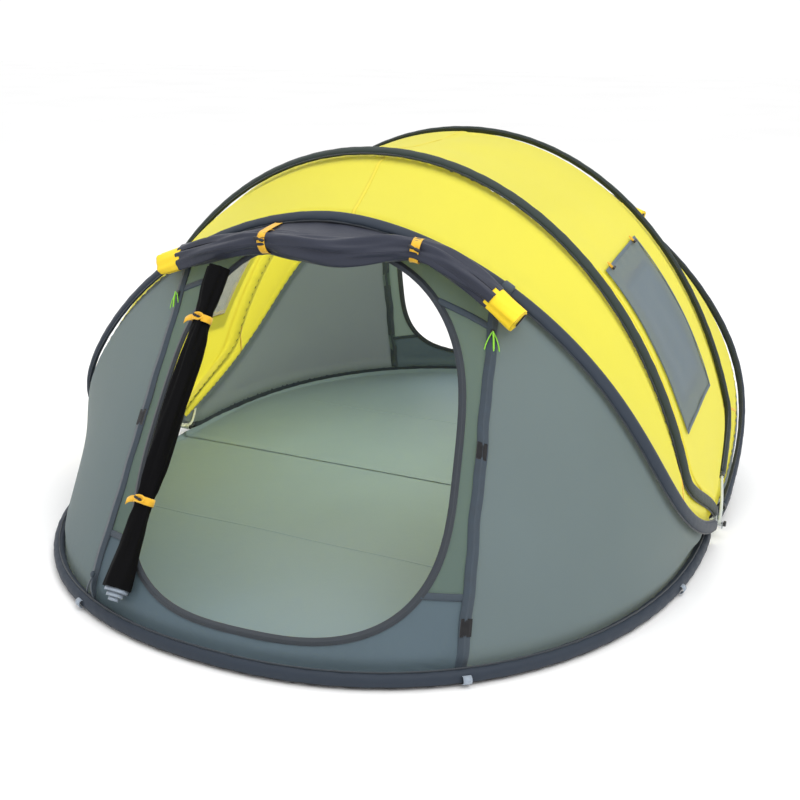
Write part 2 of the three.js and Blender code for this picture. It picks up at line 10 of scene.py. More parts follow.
import bpy
import numpy as np
from mathutils import Vector
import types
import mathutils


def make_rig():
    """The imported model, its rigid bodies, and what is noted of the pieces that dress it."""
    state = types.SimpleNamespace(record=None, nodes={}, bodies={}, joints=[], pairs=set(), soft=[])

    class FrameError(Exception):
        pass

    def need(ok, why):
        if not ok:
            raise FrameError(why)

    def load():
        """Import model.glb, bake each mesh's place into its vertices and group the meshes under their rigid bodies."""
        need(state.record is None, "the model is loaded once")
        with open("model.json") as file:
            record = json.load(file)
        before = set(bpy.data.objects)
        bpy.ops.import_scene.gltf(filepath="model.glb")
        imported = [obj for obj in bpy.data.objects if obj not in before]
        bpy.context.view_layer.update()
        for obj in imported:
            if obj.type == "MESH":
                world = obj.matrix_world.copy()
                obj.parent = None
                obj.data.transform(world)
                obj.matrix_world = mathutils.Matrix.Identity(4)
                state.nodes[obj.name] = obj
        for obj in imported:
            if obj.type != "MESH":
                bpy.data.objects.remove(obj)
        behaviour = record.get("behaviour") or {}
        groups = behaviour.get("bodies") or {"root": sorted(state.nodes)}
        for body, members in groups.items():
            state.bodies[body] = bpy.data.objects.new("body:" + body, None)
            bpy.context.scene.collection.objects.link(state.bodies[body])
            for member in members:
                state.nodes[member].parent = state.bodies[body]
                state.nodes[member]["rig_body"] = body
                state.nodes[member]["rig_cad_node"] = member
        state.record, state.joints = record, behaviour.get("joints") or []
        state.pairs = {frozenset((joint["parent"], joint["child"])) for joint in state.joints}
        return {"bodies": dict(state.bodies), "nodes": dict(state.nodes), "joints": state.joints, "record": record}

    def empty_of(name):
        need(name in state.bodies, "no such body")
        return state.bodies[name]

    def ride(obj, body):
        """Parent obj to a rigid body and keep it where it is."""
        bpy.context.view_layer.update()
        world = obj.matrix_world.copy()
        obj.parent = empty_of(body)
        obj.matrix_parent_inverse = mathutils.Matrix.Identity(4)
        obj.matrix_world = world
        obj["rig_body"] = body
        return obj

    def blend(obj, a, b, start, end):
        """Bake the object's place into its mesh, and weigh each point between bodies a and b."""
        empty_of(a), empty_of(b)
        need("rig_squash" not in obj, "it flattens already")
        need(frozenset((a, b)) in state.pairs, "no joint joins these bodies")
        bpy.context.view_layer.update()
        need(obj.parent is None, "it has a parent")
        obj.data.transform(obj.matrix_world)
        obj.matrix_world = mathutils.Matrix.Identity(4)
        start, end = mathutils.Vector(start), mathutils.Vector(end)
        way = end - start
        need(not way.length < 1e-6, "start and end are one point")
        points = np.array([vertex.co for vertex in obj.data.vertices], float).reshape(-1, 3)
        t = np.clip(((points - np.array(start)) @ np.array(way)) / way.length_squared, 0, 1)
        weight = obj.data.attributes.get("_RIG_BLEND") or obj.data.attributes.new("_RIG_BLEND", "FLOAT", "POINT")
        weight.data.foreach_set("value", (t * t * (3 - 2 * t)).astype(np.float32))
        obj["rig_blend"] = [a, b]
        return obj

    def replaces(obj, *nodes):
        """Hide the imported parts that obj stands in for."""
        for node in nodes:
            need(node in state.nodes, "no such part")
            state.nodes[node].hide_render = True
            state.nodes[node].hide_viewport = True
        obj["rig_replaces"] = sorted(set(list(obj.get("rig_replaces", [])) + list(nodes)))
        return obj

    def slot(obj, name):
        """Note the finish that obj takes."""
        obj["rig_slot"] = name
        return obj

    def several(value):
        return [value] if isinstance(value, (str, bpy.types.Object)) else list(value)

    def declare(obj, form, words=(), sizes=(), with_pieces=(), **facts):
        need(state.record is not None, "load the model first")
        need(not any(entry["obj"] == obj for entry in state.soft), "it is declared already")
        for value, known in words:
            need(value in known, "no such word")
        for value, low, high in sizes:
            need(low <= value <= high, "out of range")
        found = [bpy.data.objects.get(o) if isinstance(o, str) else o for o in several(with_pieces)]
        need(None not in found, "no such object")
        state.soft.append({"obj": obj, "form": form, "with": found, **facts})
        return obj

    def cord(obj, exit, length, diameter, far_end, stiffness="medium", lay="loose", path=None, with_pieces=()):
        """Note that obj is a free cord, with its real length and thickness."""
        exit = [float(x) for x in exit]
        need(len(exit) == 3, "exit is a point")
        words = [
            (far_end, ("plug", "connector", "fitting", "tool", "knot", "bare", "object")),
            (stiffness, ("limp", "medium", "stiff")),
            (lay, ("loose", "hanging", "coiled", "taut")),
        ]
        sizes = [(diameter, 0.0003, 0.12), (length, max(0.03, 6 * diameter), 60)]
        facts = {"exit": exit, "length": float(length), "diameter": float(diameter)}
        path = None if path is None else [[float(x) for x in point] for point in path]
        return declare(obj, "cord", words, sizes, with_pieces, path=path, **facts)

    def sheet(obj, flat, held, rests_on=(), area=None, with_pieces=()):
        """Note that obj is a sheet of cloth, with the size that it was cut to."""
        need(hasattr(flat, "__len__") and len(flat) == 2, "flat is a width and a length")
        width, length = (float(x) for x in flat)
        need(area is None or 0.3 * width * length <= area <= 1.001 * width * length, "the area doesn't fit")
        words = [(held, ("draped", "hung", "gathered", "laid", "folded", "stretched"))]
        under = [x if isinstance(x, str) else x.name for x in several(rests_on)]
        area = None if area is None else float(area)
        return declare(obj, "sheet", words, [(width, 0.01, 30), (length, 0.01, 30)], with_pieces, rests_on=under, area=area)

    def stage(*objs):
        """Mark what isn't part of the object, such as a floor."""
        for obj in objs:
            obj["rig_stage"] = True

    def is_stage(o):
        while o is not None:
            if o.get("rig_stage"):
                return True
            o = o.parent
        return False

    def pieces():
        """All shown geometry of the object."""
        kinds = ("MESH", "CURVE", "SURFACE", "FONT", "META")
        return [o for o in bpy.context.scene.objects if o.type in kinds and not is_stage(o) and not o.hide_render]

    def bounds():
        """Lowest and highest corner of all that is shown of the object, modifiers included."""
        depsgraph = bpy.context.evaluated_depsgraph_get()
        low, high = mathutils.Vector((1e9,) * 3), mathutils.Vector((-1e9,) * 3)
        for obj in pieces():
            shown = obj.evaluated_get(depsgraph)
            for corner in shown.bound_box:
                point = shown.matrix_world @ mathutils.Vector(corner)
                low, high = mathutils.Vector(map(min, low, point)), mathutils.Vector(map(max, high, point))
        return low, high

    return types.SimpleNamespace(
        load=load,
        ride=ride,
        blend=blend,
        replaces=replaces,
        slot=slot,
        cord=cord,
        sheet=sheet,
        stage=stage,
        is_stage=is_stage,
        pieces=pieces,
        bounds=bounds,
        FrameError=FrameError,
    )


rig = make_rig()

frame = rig.load()
cad_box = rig.bounds()
scene = bpy.context.scene

# ---------------------------------------------------------------- driving sizes
PIVOT_HEIGHT = 0.045
GROUND_HEIGHT = 0.022
HOOPS = {
    "ground": dict(half_width=0.953, reach=1.385, widest=0.185, power=2.2),
    "low": dict(half_width=0.975, reach=0.963, widest=0.050, power=1.81),
    "high": dict(half_width=0.980, reach=1.105, widest=-0.190, power=2.03),
}
LEAN = {"low": (84, 0.597, 0.582, 3.5), "high": (88, 0.350, 0.270, 0)}  # tilt, forward, rise, curl
SLEEVE = {"ground": (0.036, 0.034), "low": (0.032, 0.020), "high": (0.032, 0.020)}
SLEEVE_ENDS = {"ground": (0.018, 0.982), "low": (0.022, 0.978), "high": (0.014, 0.952)}
TUCK = 0.019  # fabric passes this far inside each hoop, under its sleeve
TUCK_REACH = 0.06  # and comes back to the straight surface over this distance
HEART = np.array([0.0, 0.0, 0.45])  # the inside of the tent
ZIP = {"right": (0.37, 0.335), "left": (0.626, 0.615)}  # shares of the low and ground hoops
TOP_TAPE, SILL = 0.125, 0.815  # shares down the door wall of its two cross tapes
HOOK_TABS = {"right": (0.45, 0.887), "left": (0.5,)}  # and of the tabs on each outer zip
SLIDER = 0.14  # and of the zip sliders, nearly shut
PEG_LOOPS = (0.12, 0.333, 0.617, 0.86)  # shares of the ground hoop
FLOOR_HALF_WIDTH, FLOOR_INSET, FLOOR_LAP, FLOOR_SEAM = 0.9405, 0.012, 0.045, 0.62
DOOR = dict(middle=0.5, half_width=0.44, half_height=0.437, power=3.2)
MIDDLE = Vector((0, 0, PIVOT_HEIGHT))
UP = np.array([0.0, 0.0, 1.0])


# ---------------------------------------------------------------- camera
def make_camera():
    data = bpy.data.cameras.new("camera")
    camera = bpy.data.objects.new("camera", data)
    scene.collection.objects.link(camera)
    camera.location = (1.420, -3.667, 1.529)
    camera.rotation_euler = (math.radians(74.419), 0, math.radians(28.265))
    data.lens = 55.13
    data.shift_x = 0.1565
    data.shift_y = -0.0552
    data.clip_end = 100
    scene.camera = camera


make_camera()


# ---------------------------------------------------------------- small maths
def ease(x):
    x = np.clip(x, 0, 1)
    return x * x * (3 - 2 * x)


def bump(x, middle, width):
    """1 at the middle, falling smoothly to 0 at width away."""
    return ease(1 - np.abs(x - middle) / width)


def unit(v):
    return v / np.maximum(np.linalg.norm(v, axis=-1, keepdims=True), 1e-9)


def dot(a, b):
    return (a * b).sum(-1, keepdims=True)


def ripple(x, y, seed, waves=5):
    """Smooth wandering between about -1 and 1, the same on each run."""
    rng = np.random.default_rng(seed)
    total = np.zeros(np.broadcast(x, y).shape)
    for _ in range(waves):
        a, b, c = rng.uniform(-1, 1), rng.uniform(-1, 1), rng.uniform(0, 6.28)
        total = total + np.sin(a * x * 6.28 + b * y * 6.28 + c)
    return total / waves**0.5


# ---------------------------------------------------------------- hoop lines
class Line:
    """A curve through points, read by share of its length."""

    def __init__(self, points):
        self.points = np.asarray(points, float)
        steps = np.linalg.norm(np.diff(self.points, axis=0), axis=1)
        lengths = np.concatenate([[0], np.cumsum(steps)])
        self.length = lengths[-1]
        self.shares = lengths / self.length

    def __call__(self, t):
        t = np.clip(np.asarray(t, float), 0, 1)
        return np.stack([np.interp(t, self.shares, self.points[:, k]) for k in range(3)], -1)

    def along(self, t, h=0.004):
        t = np.asarray(t, float)
        return unit(self(t + h) - self(t - h))


class Turned:
    """The same line turned half round about Z."""

    def __init__(self, line):
        self.line, self.length = line, line.length

    def __call__(self, t):
        return self.line(1 - np.asarray(t, float)) * (-1, -1, 1)

    def along(self, t):
        return -self.line.along(1 - np.asarray(t, float)) * (-1, -1, 1)


def hoop(name):
    spec = HOOPS[name]
    ratio = spec["widest"] / (spec["reach"] - spec["widest"])
    dip = math.asin(math.copysign(abs(ratio) ** (spec["power"] / 2), ratio))
    angle = np.linspace(-dip, math.pi + dip, 1601)
    c, s = np.cos(angle), np.sin(angle)
    bend = 2 / spec["power"]
    across = spec["half_width"] * np.sign(c) * np.abs(c) ** bend
    out = spec["widest"] + (spec["reach"] - spec["widest"]) * np.sign(s) * np.abs(s) ** bend
    out = np.maximum(out, 0)
    if name == "ground":
        z = PIVOT_HEIGHT + (GROUND_HEIGHT - PIVOT_HEIGHT) * ease(out / 0.150)
        return Line(np.stack([across, -out, z], -1))
    tilt, forward, rise, curl = LEAN[name]
    tilt = math.radians(tilt)
    leaned = 1 - (1 - np.minimum(out / rise, 1)) ** curl if curl else ease(out / rise)
    y = -out * math.cos(tilt) - forward * leaned
    return Line(np.stack([across, y, PIVOT_HEIGHT + out * math.sin(tilt)], -1))


ground, low, high = hoop("ground"), hoop("low"), hoop("high")
high_rear = Turned(high)


class Panel:
    """Fabric between two hoops. u runs along them and v goes from the first to the second, both
    0 to 1; w and t are the hoops' own shares at u 0 and 1."""

    def __init__(self, first, second, w=(0.0, 1.0), t=None):
        self.first, self.second, self.w, self.t = first, second, w, t or w

    def __call__(self, u, v):
        u, v = np.broadcast_arrays(np.asarray(u, float), np.asarray(v, float))
        a = self.first(self.w[0] + (self.w[1] - self.w[0]) * u)
        b = self.second(self.t[0] + (self.t[1] - self.t[0]) * u)
        p = a + (b - a) * v[..., None]
        near = sum(ease(1 - np.linalg.norm(p - q, axis=-1, keepdims=True) / TUCK_REACH)
                   for q in (a, b))
        return p + unit(HEART - p) * TUCK * np.minimum(near, 1)

    def normal(self, u, v, h=2e-3):
        du = self(np.asarray(u) + h, v) - self(np.asarray(u) - h, v)
        dv = self(u, np.asarray(v) + h) - self(u, np.asarray(v) - h)
        return unit(np.cross(du, dv)) * self.face()

    def face(self, h=2e-3):
        """1 or -1, so that the normal faces away from the tent's middle."""
        du = self(0.5 + h, 0.5) - self(0.5 - h, 0.5)
        dv = self(0.5, 0.5 + h) - self(0.5, 0.5 - h)
        return 1.0 if np.dot(np.cross(du, dv), self(0.5, 0.5) - np.array(MIDDLE)) > 0 else -1.0

    def lifted(self, u, v, out):
        return self(u, v) + self.normal(u, v) * np.asarray(out, float)[..., None]

    def size(self):
        """Width and length of the flat cut, and its area."""
        u, v = np.meshgrid(np.linspace(0, 1, 61), np.linspace(0, 1, 31), indexing="ij")
        return grid_size(self(u, v))


def grid_size(p):
    du, dv = np.diff(p, axis=0), np.diff(p, axis=1)
    long = np.linalg.norm(du, axis=-1).sum(0).max()
    wide = np.linalg.norm(dv, axis=-1).sum(1).max()
    cells = np.cross(du[:, :-1], dv[:-1])
    return wide, long, np.linalg.norm(cells, axis=-1).sum()


right_wall = Panel(low, ground, (0.008, ZIP["right"][0]), (0.008, ZIP["right"][1]))
door_wall = Panel(low, ground, (ZIP["right"][0], ZIP["left"][0]), (ZIP["right"][1], ZIP["left"][1]))
left_wall = Panel(low, ground, (ZIP["left"][0], 0.992), (ZIP["left"][1], 0.992))
whole_wall = Panel(low, ground)
side_roof = Panel(low, high, (0.012, 0.988))
middle_roof = Panel(high, high_rear, (0.018, 0.982))


# ---------------------------------------------------------------- materials
def rgb(r, g, b):
    """sRGB 0-255 as linear."""
    return tuple(c / 12.92 if c <= 0.04045 else ((c + 0.055) / 1.055) ** 2.4
                 for c in (r / 255, g / 255, b / 255)) + (1.0,)


def scaled(colour, k):
    return tuple(min(1, c * k) for c in colour[:3]) + (1.0,)


class Nodes:
    """A material's node tree, with short ways to add to it."""

    def __init__(self, name):
        self.material = bpy.data.materials.new(name)
        self.material.use_nodes = True
        self.tree = self.material.node_tree
        self.bsdf = self.tree.nodes["Principled BSDF"]
        self.output = self.tree.nodes["Material Output"]

    def add(self, kind, **values):
        node = self.tree.nodes.new(kind)
        for key, value in values.items():
            if hasattr(node, key):
                setattr(node, key, value)
            else:
                node.inputs[key.replace("_", " ")].default_value = value
        return node

    def link(self, a, b):
        self.tree.links.new(a, b)

    def place(self, kind="UV"):
        mapping = self.add("ShaderNodeMapping")
        self.link(self.add("ShaderNodeTexCoord").outputs[kind], mapping.inputs["Vector"])
        return mapping.outputs["Vector"]

    def noise(self, where, scale, detail=3.0, roughness=0.5):
        node = self.add("ShaderNodeTexNoise", Scale=scale, Detail=detail, Roughness=roughness)
        self.link(where, node.inputs["Vector"])
        return node.outputs["Fac"]

    def wave(self, where, period, direction="X", profile="SIN"):
        node = self.add("ShaderNodeTexWave", bands_direction=direction, wave_profile=profile,
                        Scale=math.pi / 10 / period)
        self.link(where, node.inputs["Vector"])
        return node.outputs["Fac"]

    def maths(self, operation, a, b):
        node = self.add("ShaderNodeMath", operation=operation)
        for socket, value in zip(node.inputs, (a, b)):
            if isinstance(value, (int, float)):
                socket.default_value = value
            else:
                self.link(value, socket)
        return node.outputs[0]

    def ramp(self, fac, *stops):
        node = self.add("ShaderNodeValToRGB")
        while len(node.color_ramp.elements) < len(stops):
            node.color_ramp.elements.new(0.5)
        for element, (at, colour) in zip(node.color_ramp.elements, stops):
            element.position, element.color = at, colour
        self.link(fac, node.inputs["Fac"])
        return node.outputs["Color"]

    def blend(self, fac, a, b):
        node = self.add("ShaderNodeMix", data_type="RGBA")
        for socket, value in zip((node.inputs[0], node.inputs[6], node.inputs[7]), (fac, a, b)):
            if isinstance(value, (int, float, tuple)):
                socket.default_value = value
            else:
                self.link(value, socket)
        return node.outputs[2]

    def uneven_roughness(self, fac, lo, hi, at=(0.2, 0.8)):
        stops = [(k, (value,) * 3 + (1,)) for k, value in zip(at, (lo, hi))]
        self.link(self.ramp(fac, *stops), self.bsdf.inputs["Roughness"])

    def mix_out(self, share, first, second):
        """Shows a mix of two shaders; share is how much of the second."""
        both = self.add("ShaderNodeMixShader")
        if isinstance(share, float):
            both.inputs[0].default_value = share
        else:
            self.link(share, both.inputs[0])
        self.link(first.outputs[0], both.inputs[1])
        self.link(second.outputs[0], both.inputs[2])
        self.link(both.outputs[0], self.output.inputs["Surface"])

    def bump(self, height, strength, distance, normal=None):
        node = self.add("ShaderNodeBump", Strength=strength, Distance=distance)
        self.link(height, node.inputs["Height"])
        if normal is not None:
            self.link(normal, node.inputs["Normal"])
        return node.outputs["Normal"]


def fabric(name, colour, weave=0.0016, rough=0.62, sheen=0.04, glow=None, lit=0.3, vary=0.06,
           crease=0.25, specular=0.3):
    """Woven polyester: plain weave, soft creases and a little uneven colour. glow is the colour
    of the light that comes through it."""
    n = Nodes(name)
    uv = n.place()
    patch = n.noise(uv, 2.6, 4.0, 0.55)
    fine = n.noise(uv, 190.0, 2.0, 0.6)
    body = n.ramp(patch, (0.25, scaled(colour, 1 - vary)), (0.75, scaled(colour, 1 + vary)))
    threads = n.maths("MULTIPLY", n.wave(uv, weave, "X"), n.wave(uv, weave, "Y"))
    shade = n.blend(0.16, body, scaled(colour, 0.72))
    woven = n.blend(threads, shade, body)
    mottled = n.blend(n.maths("MULTIPLY", fine, 0.22), woven, scaled(colour, 1.12))
    n.link(mottled, n.bsdf.inputs["Base Color"])
    n.uneven_roughness(patch, rough - 0.06, rough + 0.06)
    n.bsdf.inputs["Sheen Weight"].default_value = sheen
    n.bsdf.inputs["Specular IOR Level"].default_value = specular
    soft = n.bump(n.noise(uv, 7.0, 5.0, 0.6), crease, 0.006)
    n.link(n.bump(threads, 0.25, 0.0004, soft), n.bsdf.inputs["Normal"])
    if glow:
        through = n.add("ShaderNodeBsdfTranslucent")
        n.link(n.blend(n.maths("MULTIPLY", patch, 0.25), glow, scaled(glow, 0.85)),
               through.inputs["Color"])
        n.mix_out(lit, n.bsdf, through)
    return n.material


def webbing(name, colour, period=0.0035, rough=0.6):
    """Woven tape with ribs across it."""
    n = Nodes(name)
    uv = n.place()
    ribs = n.wave(uv, period, "Y", "TRI")
    patch = n.noise(uv, 40.0, 3.0)
    body = n.ramp(patch, (0.3, scaled(colour, 0.86)), (0.7, scaled(colour, 1.12)))
    n.link(n.blend(n.maths("MULTIPLY", ribs, 0.3), body, scaled(colour, 0.6)),
           n.bsdf.inputs["Base Color"])
    n.uneven_roughness(patch, rough - 0.08, rough + 0.08)
    n.bsdf.inputs["Sheen Weight"].default_value = 0.2
    n.link(n.bump(ribs, 0.5, 0.0008), n.bsdf.inputs["Normal"])
    return n.material


def moulded(name, colour, rough=0.4, metal=0.0, grain=260.0):
    """Moulded plastic, pultruded rod or drawn wire, with a fine grain."""
    n = Nodes(name)
    where = n.place(kind="Object")
    grit = n.noise(where, grain, 3.0, 0.6)
    patch = n.noise(where, 9.0, 3.0)
    body = n.ramp(patch, (0.3, scaled(colour, 0.9)), (0.7, scaled(colour, 1.08)))
    n.link(n.blend(n.maths("MULTIPLY", grit, 0.2), body, scaled(colour, 0.7)),
           n.bsdf.inputs["Base Color"])
    n.uneven_roughness(grit, rough - 0.07, rough + 0.09, at=(0.3, 0.7))
    n.bsdf.inputs["Metallic"].default_value = metal
    n.link(n.bump(grit, 0.25, 0.0003), n.bsdf.inputs["Normal"])
    return n.material


def mosquito_mesh(name, colour, hole=0.0032, open_share=0.55):
    """Fine net: threads both ways with clear squares between them."""
    n = Nodes(name)
    uv = n.place()
    lines = n.maths("MAXIMUM", n.wave(uv, hole, "X"), n.wave(uv, hole, "Y"))
    thread = n.ramp(lines, (open_share, (0, 0, 0, 1)), (open_share + 0.12, (1, 1, 1, 1)))
    patch = n.noise(uv, 30.0, 2.0)
    n.link(n.ramp(patch, (0.3, scaled(colour, 0.9)), (0.7, scaled(colour, 1.1))),
           n.bsdf.inputs["Base Color"])
    n.bsdf.inputs["Roughness"].default_value = 0.7
    n.link(n.bump(lines, 0.3, 0.0005), n.bsdf.inputs["Normal"])
    n.mix_out(thread, n.add("ShaderNodeBsdfTransparent"), n.bsdf)
    return n.material


YELLOW, YELLOW_GLOW = rgb(246, 236, 84), rgb(255, 240, 60)
GREY, PANEL_GREY = rgb(100, 115, 119), rgb(84, 102, 101)
MATERIAL = {
    "yellow": fabric("yellow_fabric", YELLOW, glow=YELLOW_GLOW, lit=0.42, rough=0.5, vary=0.04,
                     specular=0.45),
    "grey": fabric("grey_fabric", GREY, glow=rgb(150, 156, 158), lit=0.22),
    "sheer": fabric("door_panel_fabric", PANEL_GREY, glow=rgb(150, 168, 152), lit=0.3),
    "sill": fabric("door_sill_fabric", rgb(80, 96, 106), glow=rgb(110, 125, 130), lit=0.12),
    "floor": fabric("floor_fabric", rgb(112, 132, 142), weave=0.0022, rough=0.55, sheen=0.05,
                    crease=0.3),
    "navy": fabric("navy_sleeve_fabric", rgb(40, 49, 61), weave=0.0014, vary=0.1, crease=0.5),
    # near-black cloth for the ground sleeve's underside: partly the floor cloth's dark edge, partly painted shade
    # where the sleeve meets the floor
    "lip": fabric("ground_lip_fabric", rgb(14, 15, 21), weave=0.0014, vary=0.1, crease=0.5),
    "green": fabric("green_sleeve_fabric", rgb(40, 51, 48), weave=0.0014, vary=0.1, crease=0.5),
    "door": fabric("rolled_door_fabric", rgb(42, 46, 60), weave=0.0014, vary=0.16, crease=0.9,
                   rough=0.5, sheen=0.1),
    "net": fabric("rolled_mesh_fabric", rgb(3, 3, 5), weave=0.0024, vary=0.2, crease=0.6,
                  sheen=0.0, specular=0.12, rough=0.8),
    "amber": fabric("amber_border_fabric", rgb(252, 214, 34), weave=0.0014, vary=0.05, crease=0.5,
                    specular=0.4),
    "flap": fabric("window_flap_fabric", rgb(102, 118, 130), glow=rgb(190, 192, 190), lit=0.3),
    "strap": webbing("amber_webbing", rgb(245, 186, 26)),
    "tape": webbing("zip_tape_weave", rgb(46, 60, 72), 0.0024),
    "binding": webbing("dark_binding", rgb(38, 46, 55), 0.0024),
    "velcro": webbing("black_hook_tape", rgb(17, 17, 21), 0.0018, rough=0.85),
    "tag": webbing("pale_loop_webbing", rgb(150, 162, 176), 0.0030),
    "seam": webbing("orange_seam_tape", rgb(240, 190, 30), 0.0028),
    "lime": webbing("lime_cord_braid", rgb(146, 222, 50), 0.0016, rough=0.5),
    "black": moulded("black_plastic", rgb(26, 26, 30), rough=0.42),
    "rod": moulded("fibreglass_rod", rgb(196, 202, 198), rough=0.38, grain=420.0),
    "steel": moulded("steel_wire", rgb(180, 184, 188), rough=0.28, metal=1.0, grain=600.0),
    "mesh": mosquito_mesh("window_net", rgb(188, 188, 184)),
}
SLOT = {
    "yellow": "yellow_roof", "grey": "grey_wall", "sheer": "door_panel", "sill": "door_panel",
    "floor": "floor_cloth", "navy": "navy_sleeve", "lip": "navy_sleeve", "green": "green_sleeve",
    "door": "rolled_door", "net": "black_mesh", "amber": "amber_webbing", "flap": "grey_wall",
    "strap": "amber_webbing", "tape": "zip_tape", "binding": "zip_tape", "velcro": "black_plastic",
    "tag": "navy_sleeve", "seam": "amber_webbing", "lime": "lime_cord", "black": "black_plastic",
    "rod": "hoop_pole", "steel": "steel_wire", "mesh": "window_mesh",
}


# ---------------------------------------------------------------- pieces
def make(name, points, faces, look, uv=None, other=None, other_faces=None):
    """A mesh piece with one finish, or a second one on the faces named."""
    points = np.asarray(points, float).reshape(-1, 3)
    mesh = bpy.data.meshes.new(name)
    mesh.from_pydata(points.tolist(), [], [tuple(map(int, f)) for f in faces])
    mesh.materials.append(MATERIAL[look])
    if uv is not None:
        uv = np.asarray(uv, float).reshape(-1, 2)
        loops = np.zeros(len(mesh.loops), int)
        mesh.loops.foreach_get("vertex_index", loops)
        mesh.uv_layers.new(name="UVMap").data.foreach_set("uv", uv[loops].ravel())
    if other:
        mesh.materials.append(MATERIAL[other])
        slots = np.zeros(len(faces), int)
        slots[other_faces] = 1
        mesh.polygons.foreach_set("material_index", slots)
    mesh.polygons.foreach_set("use_smooth", np.ones(len(faces), bool))
    mesh.validate()
    mesh.update()
    piece = bpy.data.objects.new(name, mesh)
    scene.collection.objects.link(piece)
    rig.slot(piece, SLOT[look])
    return piece


def grid_faces(m, n, wrap=False, keep=None):
    """Quads over m by n points; with wrap the second direction closes on itself."""
    i, j = np.meshgrid(np.arange(m - 1), np.arange(n if wrap else n - 1), indexing="ij")
    k = (j + 1) % n
    faces = np.stack([i * n + j, i * n + k, (i + 1) * n + k, (i + 1) * n + j], -1)
    return faces[keep] if keep is not None else faces.reshape(-1, 4)


def grid_uv(p):
    """Distances in metres along both directions of a grid of points."""
    along = np.linalg.norm(np.diff(p, axis=0), axis=-1)
    across = np.linalg.norm(np.diff(p, axis=1), axis=-1)
    u = np.concatenate([np.zeros((1, p.shape[1])), np.cumsum(along, 0)]).mean(1, keepdims=True)
    v = np.concatenate([np.zeros((p.shape[0], 1)), np.cumsum(across, 1)], 1)
    return np.stack([v - v.mean(1, keepdims=True), np.broadcast_to(u, v.shape)], -1)


def turn(end, points):
    """Front points as they are, or turned half round for the rear."""
    return np.asarray(points, float) * ((1, 1, 1) if end == "front" else (-1, -1, 1))


def skin(name, end, points, look, wrap=True):
    """A surface over rows of points; with wrap each row closes on itself."""
    return make(name, turn(end, points), grid_faces(*points.shape[:2], wrap=wrap), look,
                grid_uv(points))


def ribbon(line, side, out):
    """Rows of corners for a flat strip along a line, as wide as side and as thick as out."""
    return np.stack([line + side * w + out * d
                     for w, d in ((-0.5, 0), (0.5, 0), (0.5, 1), (-0.5, 1))], 1)


def bend(piece, a, b, shares, start, end):
    """The piece bends between two bodies, each point by its own share of the way."""
    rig.blend(piece, a, b, start=start, end=end)
    shares = np.clip(np.asarray(shares, np.float32).ravel(), 0, 1)
    piece.data.attributes["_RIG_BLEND"].data.foreach_set("value", shares)
    return piece


def on_wall(piece, end, down):
    """Wall fabric follows the ground hoop at its foot and the low hoop at its top. down is how
    far down the wall each point is, or one number for a small piece."""
    down = np.broadcast_to(down, len(piece.data.vertices)) if np.ndim(down) == 0 else down
    foot, top = turn(end, ground(0.475)), turn(end, low(0.5))
    return bend(piece, f"{end}_half", f"{end}_hoops", 1 - np.asarray(down), foot, top)


def cloth(piece, size, held="stretched", rests_on=()):
    wide, long, area = size
    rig.sheet(piece, flat=(wide, long), held=held, rests_on=list(rests_on), area=min(area, wide * long))
    return piece


def sheet_from(name, panel, end, look, counts, lift):
    """A panel as a fine grid. lift(u, v) is how far it stands out from the straight surface."""
    u, v = np.meshgrid(np.linspace(0, 1, counts[0]), np.linspace(0, 1, counts[1]), indexing="ij")
    points = turn(end, panel.lifted(u, v, lift(u, v)))
    return make(name, points, grid_faces(*counts), look, grid_uv(panel(u, v))), v


# ---------------------------------------------------------------- walls and roofs
def pucker(panel, u, v, pitch=0.034, depth=0.0016, reach=0.16):
    """Small gathers along both hoop seams, dying out into the panel."""
    length = panel.first.length * (panel.w[1] - panel.w[0])
    wobble = 1 + 0.35 * np.sin(u * length / 0.21) + 0.25 * np.sin(u * length / 0.13 + 1.3)
    ribs = np.sin(u * length / pitch * 2 * math.pi + 1.7 * np.sin(u * length / 0.37)) * wobble
    near = np.maximum(ease(1 - v / reach), ease(1 - (1 - v) / reach))
    return depth * ribs * near


def hollow(u, v, depth):
    """Stretched fabric is drawn in a little between its hoops."""
    return -depth * 4 * v * (1 - v) * ease(np.minimum(u, 1 - u) * 5)


def wall_lift(panel, seed):
    def lift(u, v):
        slack = 0.0035 * ripple(u * 2.1, v * 1.6, seed) * np.sin(math.pi * v)
        return pucker(panel, u, v) + hollow(u, v, 0.006) + slack * ease(np.minimum(u, 1 - u) * 6)
    return lift


def make_walls(end):
    for side, panel, seed in (("right", right_wall, 3), ("left", left_wall, 8)):
        name = f"wall_{end}_{side}"
        piece, v = sheet_from(f"{name}_cloth", panel, end, "grey", (96, 44), wall_lift(panel, seed))
        on_wall(piece, end, v)
        cloth(piece, panel.size(), rests_on=[f"low_sleeve_{end}_cloth", f"ground_sleeve_{end}_cloth"])
        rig.replaces(piece, name)


def make_side_roof(end):
    def lift(u, v):
        slack = 0.004 * ripple(u * 3, v * 1.2, 21) * np.sin(math.pi * v)
        return pucker(side_roof, u, v) + hollow(u, v, 0.012) + slack

    piece, _ = sheet_from(f"roof_{end}_cloth", side_roof, end, "yellow", (260, 40), lift)
    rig.ride(piece, f"{end}_hoops")
    cloth(piece, side_roof.size(), rests_on=[f"low_sleeve_{end}_cloth", f"high_sleeve_{end}_cloth"])
    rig.replaces(piece, f"roof_{end}")
    for k, (u0, u1, look) in enumerate([(0.487, 0.497, "yellow"), (0.118, 0.132, "seam"),
                                        (0.868, 0.882, "seam")]):
        seam, _ = seam_strip(f"roof_seam_{end}_{k + 1}", side_roof, end, u0, u1, lift, look)
        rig.ride(seam, f"{end}_hoops")


